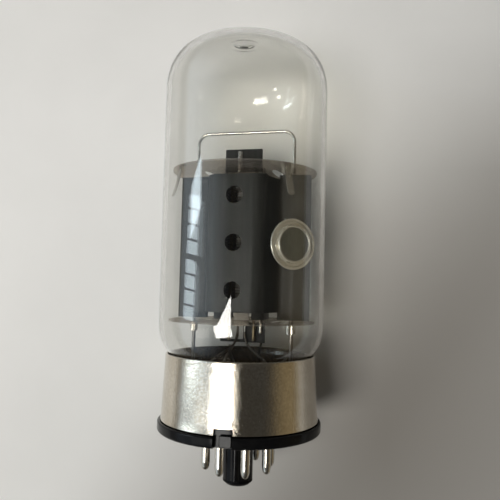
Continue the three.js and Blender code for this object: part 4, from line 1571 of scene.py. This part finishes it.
    def getter_pan(self) -> None:
        """Build the getter pan: a turned dish with a flat rim, a groove, a raised ring and a sunken centre.

        The faces that look forward within the centre's radius take the olive finish.
        """
        profile = rounded_profile([(r * MM, z * MM, size * MM) for r, z, size in self.getter_line], 6)
        shape = turned_shape(profile, 96)
        x, y, z = cage_point(*self.getter_place)
        turn = self.getter_turn + CAGE_TWIST
        dish = shape.points[:, [0, 2, 1]] * [1, -1, 1]
        made = Shape(dish, shape.faces).turned(turn).shifted(x, y, z)
        piece = finish_piece("getter_dish", made, self.getter, "getter_pan", sharp=35)
        piece.data.materials.append(self.flash)
        centres = np.array([p.center[:] for p in piece.data.polygons])
        normals = np.array([p.normal[:] for p in piece.data.polygons])
        facing = np.array([math.sin(turn), -math.cos(turn), 0.0])
        away = centres - np.array([x, y, z])
        height = away @ facing
        radial = np.linalg.norm(away - height[:, None] * facing, axis=1)
        flat = (radial < self.getter_face) & (normals @ facing > 0.9)
        piece.data.polygons.foreach_set("material_index", flat.astype(int))

    def getter_holder(self) -> None:
        """Build the strap that carries the dish on the fin, as a strip along a smooth line in plan."""
        low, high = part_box("getter_holder")
        c, s = math.cos(self.getter_turn), math.sin(self.getter_turn)
        facing, along = np.array([s, -c]), np.array([c, s])
        back = np.array(self.getter_place[:2]) + facing * 0.6
        points = [back + along * 2.0, back - along * 1.6, back - along * 2.6 - facing * 0.3, (10.7, -1.3),
                  (11.0, -0.75), (12.3, -0.7)]
        line = smooth_path([(*p, 0.0) for p in points], 40)[:, :2] * MM
        shape = strip_shape(line, low.z + 0.4 * MM, high.z - 0.4 * MM, self.strip).turned(CAGE_TWIST)
        finish_piece("getter_strap", shape, self.bright, "getter_holder")

    def build(self) -> None:
        """Build every wire and strip of the cage."""
        for side in Side:
            self.rod(side)
            self.collar(side)
        self.hoop()
        self.radiators()
        lean = self.spring_lean
        for node, angle in (("snubber_front_right", lean), ("snubber_back_right", math.pi - lean),
                            ("snubber_back_left", math.pi + lean), ("snubber_front_left", -lean)):
            self.snubber(node, angle)
        self.getter_pan()
        self.getter_holder()


# ---------------------------------------------------------------------------------------------- electrodes
@dataclass
class Electrodes:
    """Grids, cathode and heater inside the anode."""

    grid_ends: Pair = (seat(30.5), seat(66.0))
    control: Pair = (4.1 * MM, 1.45 * MM)
    screen: Pair = (5.9 * MM, 2.5 * MM)
    rod_radius: float = 0.45 * MM
    cathode_half: Pair = (2.0 * MM, 0.7 * MM)
    heater_half: float = 0.9 * MM
    heater_wire: float = 0.2 * MM
    tab_sides: Pair = (-1.5 * MM, -0.35 * MM)
    tab_lip: float = 0.2 * MM
    tab_y: Pair = (-1.85 * MM, -1.98 * MM)
    coating: bpy.types.Material = field(default_factory=lambda: OxideCoating().build())
    # Both wire finishes are far darker than bright gold plating and nickel: painted shade for the inside of
    # the anode.
    shaded_gold: bpy.types.Material = field(default_factory=lambda: DrawnWire(
        "shade_darkened_grid_wire", (0.15, 0.117, 0.07), (0.1, 0.078, 0.048), (0.3, 0.42)).build())
    nickel: bpy.types.Material = field(default_factory=lambda: DrawnWire(
        "shade_darkened_grid_rod", (0.4, 0.38, 0.34), (0.28, 0.26, 0.23), (0.2, 0.32)).build())

    def winding(self, node: str, half: Pair, turns: int, wire: float, material: bpy.types.Material) -> None:
        """Wind a grid: (a cos t, b sin t, z rising evenly), a fine wire carried round the two side rods.

        Args:
            node: the frame's node.
            half: half width and half depth of the winding.
            turns: number of turns.
            wire: the wire's radius.
            material: its material.
        """
        t = np.linspace(0, 2 * np.pi * turns, turns * 28)
        z = np.linspace(*self.grid_ends, len(t))
        path = np.stack([half[0] * np.cos(t), half[1] * np.sin(t), z], axis=1)
        shape = wire_shape(path, wire, (0, 0, 1), 5).turned(CAGE_TWIST)
        finish_piece(f"{node}_wire", shape, material, node, sharp=80)

    def rods(self) -> None:
        """Build the four grid side rods."""
        for grid, x, material, slot in (("control", CONTROL_X, self.shaded_gold, "gold_wire"),
                                        ("screen", SCREEN_X, self.nickel, "nickel_wire")):
            for side in Side:
                node = f"{grid}_grid_rod_{side.name.lower()}"
                shape = wire_shape(upright_path(node, x * side.value, 30), self.rod_radius, (1, 0, 0), 14)
                finish_piece(f"{node}_post", shape, material, node)

    def cathode(self) -> None:
        """Build the oval cathode sleeve, (a cos t, b sin t) with an inner wall, and the strip on its top."""
        low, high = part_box("cathode_sleeve")
        t = np.linspace(0, 2 * np.pi, 64, endpoint=False)[:, None]
        size = np.array([1.0, 1.0, 0.9, 0.9])[None]
        a, b = self.cathode_half[0] * size, self.cathode_half[1] * (1 - (1 - size) * 2.4)
        z = np.array([low.z, high.z, high.z, low.z])[None] + 0 * t
        points = np.stack([a * np.cos(t), b * np.sin(t), z], axis=-1)
        shape = grid_shape(points, wrap_rows=True, wrap_columns=True).turned(CAGE_TWIST)
        finish_piece("cathode_tube", shape, self.coating, "cathode_sleeve")
        low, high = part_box("cathode_top_tab")
        line = lipped_line(self.tab_sides, self.tab_lip, self.tab_y, 0.08 * MM)
        tab = strip_shape(line, low.z, high.z, 0.2 * MM).turned(CAGE_TWIST)
        finish_piece("cathode_tab_strip", tab, self.nickel, "cathode_top_tab")

    def heater(self) -> None:
        """Build the folded heater: two legs joined by a half circle, drawn as one bent wire."""
        low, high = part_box("heater")
        r, top = self.heater_half, high.z - 1.2 * MM
        a = np.linspace(0, np.pi, 12)[1:-1]
        leg = np.linspace(low.z, top, 20)
        left = np.stack([0 * leg - r, leg], axis=1)
        bend = np.stack([-r * np.cos(a), top + r * np.sin(a)], axis=1)
        line = np.concatenate([left, bend, (left * [-1, 1])[::-1]])
        path = np.stack([line[:, 0], 0 * line[:, 0], line[:, 1]], axis=1)
        wire = wire_shape(path, self.heater_wire, (0, 1, 0), 8).turned(CAGE_TWIST)
        finish_piece("heater_wire", wire, self.coating, "heater")

    def build(self) -> None:
        """Build every electrode."""
        self.winding("control_grid_winding", self.control, 52, 0.06 * MM, self.shaded_gold)
        self.winding("screen_grid_winding", self.screen, 40, 0.07 * MM, self.nickel)
        self.rods()
        self.cathode()
        self.heater()


@dataclass
class Wiring:
    """The wires from the pins through the stem to the cage."""

    radius: float = 0.3 * MM
    foot: float = seat(-5.0)
    stem_top: float = seat(15.4)
    lift: float = 0.55
    shell_reach: float = 19.6 * MM
    leads: tuple[tuple[str, tuple[float, float, float]], ...] = (
        ("heater_lead_2", (0.9, 0, 25.3)), ("anode_lead_3", (12.3, 0.6, 20)),
        ("screen_lead_4", (5.2, 1.7, 25)), ("grid_lead_5", (-3.4, 1.1, 22)),
        ("heater_lead_7", (-0.9, 0, 25.3)), ("cathode_lead_8", (-0.6, -1.4, 27)),
    )
    dark: bpy.types.Material = field(default_factory=lambda: DrawnWire(
        "stem_lead_wire", (0.2, 0.175, 0.15), (0.08, 0.065, 0.05), (0.22, 0.4)).build())

    def lead(self, node: str, end: tuple[float, float, float]) -> None:
        """Build one lead: straight up from its pin, then a cubic curve over to its electrode.

        Args:
            node: the frame's node, which ends in the pin's number.
            end: where it ends, as a place in the cage in millimetres.
        """
        x, y = pin_place(int(node[-1]))
        start, knee = np.array([x, y, self.foot]), np.array([x, y, self.stem_top])
        goal = np.array(cage_point(*end))
        rise = np.array([0, 0, (goal[2] - knee[2]) * self.lift])
        u = np.linspace(0, 1, 26)[:, None]
        curve = ((1 - u) ** 3 * knee + 3 * u * (1 - u) ** 2 * (knee + rise)
                 + 3 * u**2 * (1 - u) * (goal - rise) + u**3 * goal)
        stem = start + (knee - start) * np.linspace(0, 1, 12)[:-1, None]
        flat = unit(np.array([goal[0] - x, goal[1] - y, 0.0]))
        across = (-flat[1], flat[0], 0.0)
        shape = wire_shape(np.concatenate([stem, curve]), self.radius, across, 12)
        finish_piece(f"{node}_wire", shape, self.dark, node)

    def shell_lead(self) -> None:
        """Build the wire from pin 1 to the sleeve, as a smooth curve in an upright plane."""
        x, y = pin_place(1)
        reach = self.shell_reach / math.hypot(x, y)
        places = ((1, -5), (1, 2), (1, 6.4), (1.25, 8.2), (1.8, 8.5), (reach, 8.5))
        path = smooth_path([(x * out, y * out, seat(height)) for out, height in places], 40)
        shape = wire_shape(path, self.radius, (-y, x, 0), 12)
        finish_piece("shell_lead_wire", shape, self.dark, "shell_lead_1")

    def build(self) -> None:
        """Build every lead."""
        self.shell_lead()
        for node, end in self.leads:
            self.lead(node, end)


# ---------------------------------------------------------------------------------------------- studio
@dataclass(frozen=True)
class Lamp:
    """One soft rectangular lamp, placed by its direction from a height on the valve's axis.

    The angles left, up and tilt are in degrees, the distance and the size in metres, and the level, which is
    the height that it points at, in millimetres.
    """

    name: str
    left: float
    up: float
    distance: float
    size: Pair
    radiance: float
    colour: Colour
    level: float = 60.0
    tilt: float = 0.0


@dataclass
class Studio:
    """Pale floor, soft lights and the camera."""

    camera_place: tuple[float, float, float] = (-1.2 * MM, -156.9 * MM, 51.57 * MM)
    yaw: float = math.radians(1.106)
    pitch: float = math.radians(3.715)
    roll: float = math.radians(1.374)
    lens: float = 41.73
    floor_behind: float = 22.1 * MM
    floor_sides: Pair = (-0.9, 0.9)
    floor_ends: Pair = (-0.75, 0.95)
    dim: Colour = (0.055, 0.053, 0.048)
    lobes: tuple[tuple[tuple[float, float, float], float, Colour], ...] = (
        ((-0.99, -0.12, -0.05), 0.4, (0.76, 0.87, 0.97)),
        ((1.0, 0.0, -0.1), 0.62, (0.25, 0.2, 0.12)),
        ((0.0, -0.3, 1.0), 0.4, (0.15, 0.147, 0.135)),
    )
    day: Colour = (1.0, 0.98, 0.94)
    cool: Colour = (0.8, 0.93, 1.0)
    warm: Colour = (1.0, 0.96, 0.88)

    def turned(self, point: Sequence[float]) -> Vector:
        """Return a point given from the viewer's side, turned to where the viewer stands."""
        return Matrix.Rotation(FACING_TURN, 3, "Z") @ Vector(point)

    def camera(self) -> None:
        """Place the camera: forward from yaw and pitch, then the roll about it."""
        ahead = Vector((math.sin(self.yaw) * math.cos(self.pitch), math.cos(self.yaw) * math.cos(self.pitch),
                        math.sin(self.pitch)))
        right = Vector((math.cos(self.yaw), -math.sin(self.yaw), 0.0))
        up = right.cross(ahead)
        c, s = math.cos(self.roll), math.sin(self.roll)
        right, up = c * right + s * up, c * up - s * right
        data = bpy.data.cameras.new("view_camera")
        data.lens = self.lens
        data.sensor_width = 36.0
        data.clip_start = 0.005
        data.clip_end = 10.0
        camera = bpy.data.objects.new("view_camera", data)
        bpy.context.scene.collection.objects.link(camera)
        axes = [self.turned(v) for v in (right, up, -ahead)]
        matrix = Matrix((axes[0], axes[1], axes[2])).transposed().to_4x4()
        matrix.translation = self.turned(self.camera_place)
        camera.matrix_world = matrix
        bpy.context.scene.camera = camera

    def floor(self) -> None:
        """Build the pale floor that the valve lies on; it stands upright, because the valve's frame does."""
        x = np.linspace(*self.floor_sides, 13)[None]
        z = np.linspace(*self.floor_ends, 13)[:, None]
        points = np.stack(np.broadcast_arrays(x, self.floor_behind + 0 * x * z, z), axis=-1)
        shape = grid_shape(points).turned(FACING_TURN)
        mesh = bpy.data.meshes.new("pale_floor")
        mesh.from_pydata(shape.points.tolist(), [], shape.faces)
        mesh.materials.append(PaleFloor().build())
        floor = bpy.data.objects.new("pale_floor", mesh)
        bpy.context.scene.collection.objects.link(floor)

    def lamp(self, lamp: Lamp) -> None:
        """Hang one lamp, which points at the valve; its power is pi times its area times its radiance.

        Args:
            lamp: the lamp.
        """
        data = bpy.data.lights.new(lamp.name, "AREA")
        data.shape = "RECTANGLE"
        data.size, data.size_y = lamp.size
        data.energy = math.pi * lamp.size[0] * lamp.size[1] * lamp.radiance
        data.color = lamp.colour
        hung = bpy.data.objects.new(lamp.name, data)
        bpy.context.scene.collection.objects.link(hung)
        left, up = math.radians(lamp.left), math.radians(lamp.up)
        ray = Vector((-math.sin(left) * math.cos(up), -math.cos(left) * math.cos(up), math.sin(up)))
        middle = Vector((0.0, 0.0, lamp.level * MM))
        at, aim = self.turned(middle + ray * lamp.distance), self.turned(middle)
        facing = (aim - at).to_track_quat("-Z", "Y").to_matrix().to_4x4()
        hung.matrix_world = Matrix.Translation(at) @ facing @ Matrix.Rotation(math.radians(lamp.tilt), 4, "Z")

    def panes(self, part: str, left: float, up: float, width: float, level: float) -> list[Lamp]:
        """Stack the four panes of one side window, with dark bars between them.

        Args:
            part: which part of the window it is.
            left: direction of the lowest pane.
            up: its height as an angle.
            width: width of the panes.
            level: the height that the lowest pane points at.

        Returns:
            The lamps, from the lowest up.
        """
        return [Lamp(f"side_window_{part}_{k}", left - 0.5 * k, up + 1.5 * k, 1.0, (width, 0.0257), 4.6,
                     self.cool, level + 4 * k, -1) for k in range(4)]

    def lamps(self) -> None:
        """Hang the lamps: a low window, a side window with bars, and a few small ceiling tubes."""
        day, cool, warm = self.day, self.cool, self.warm
        for lamp in (
            Lamp("low_window", 24.6, -11.8, 0.8, (0.32, 0.25), 14.6, day, 50, 11),
            Lamp("side_window_high", 69.5, 8.8, 1.03, (0.26, 0.11), 7.5, cool, 72, 14),
            *self.panes("middle", 73.5, 3.75, 0.3, 61),
            *self.panes("low", 76.5, -2.7, 0.29, 46),
            Lamp("side_curtain_middle", 61.0, 5.9, 1.0, (0.16, 0.11), 0.9, cool, 62, -3),
            Lamp("side_curtain_low", 65.0, -0.6, 1.0, (0.16, 0.11), 0.8, cool, 48, -3),
            Lamp("low_curtain", 55.0, -13.0, 0.8, (0.28, 0.22), 0.85, warm, 20),
            Lamp("ceiling_tube", -14.0, 18.0, 1.0, (0.19, 0.003), 26.0, warm, 96, 1),
            Lamp("ceiling_spot_near", -37.6, 19.2, 1.0, (0.06, 0.006), 14.0, day, 99),
            Lamp("ceiling_spot_middle", -43.6, 18.5, 1.0, (0.06, 0.006), 14.0, day, 97),
            Lamp("ceiling_spot_far", -56.0, 18.3, 1.0, (0.09, 0.007), 4.5, cool, 97, 30),
        ):
            self.lamp(lamp)

    def room(self) -> None:
        """Set the room's even light: dim, with a pale side on the left, a warm one on the right, a pale top.

        Each lobe is a direction, the cosine of the angle at which it has faded away, and a colour.
        """
        world = bpy.data.worlds.new("room_light")
        bpy.context.scene.world = world
        world.use_nodes = True
        tree = world.node_tree
        shade = tree.nodes["Background"]
        shade.inputs["Strength"].default_value = 1.0
        towards = tree.nodes.new("ShaderNodeTexCoord").outputs["Generated"]
        colour = None
        for side, low, tint in self.lobes:
            dot = tree.nodes.new("ShaderNodeVectorMath")
            dot.operation = "DOT_PRODUCT"
            dot.inputs[1].default_value = self.turned(Vector(side).normalized())
            tree.links.new(towards, dot.inputs[0])
            reach = tree.nodes.new("ShaderNodeMapRange")
            reach.interpolation_type = "SMOOTHSTEP"
            reach.inputs["From Min"].default_value = low
            reach.inputs["From Max"].default_value = 1.0
            tree.links.new(dot.outputs["Value"], reach.inputs["Value"])
            mix = tree.nodes.new("ShaderNodeMix")
            mix.data_type = "RGBA"
            tree.links.new(reach.outputs["Result"], mix.inputs["Factor"])
            mix.inputs[7].default_value = (*tint, 1.0)
            if colour is None:
                mix.inputs[6].default_value = (*self.dim, 1.0)
            else:
                tree.links.new(colour, mix.inputs[6])
            colour = mix.outputs[2]
        tree.links.new(colour, shade.inputs["Color"])

    def build(self) -> None:
        """Build the studio, shown with a plain tone curve."""
        bpy.context.scene.view_settings.view_transform = "Standard"
        self.camera()
        self.floor()
        self.lamps()
        self.room()


def main() -> None:
    """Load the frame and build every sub-assembly in order."""
    logging.basicConfig(level=logging.INFO, format="%(name)s %(message)s")
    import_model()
    for assembly in (Studio(), Envelope(), Base(), Anode(), Micas(), CageWires(), Electrodes(), Wiring()):
        log.info("building %s", type(assembly).__name__)
        assembly.build()


if __name__ == "__main__":
    main()
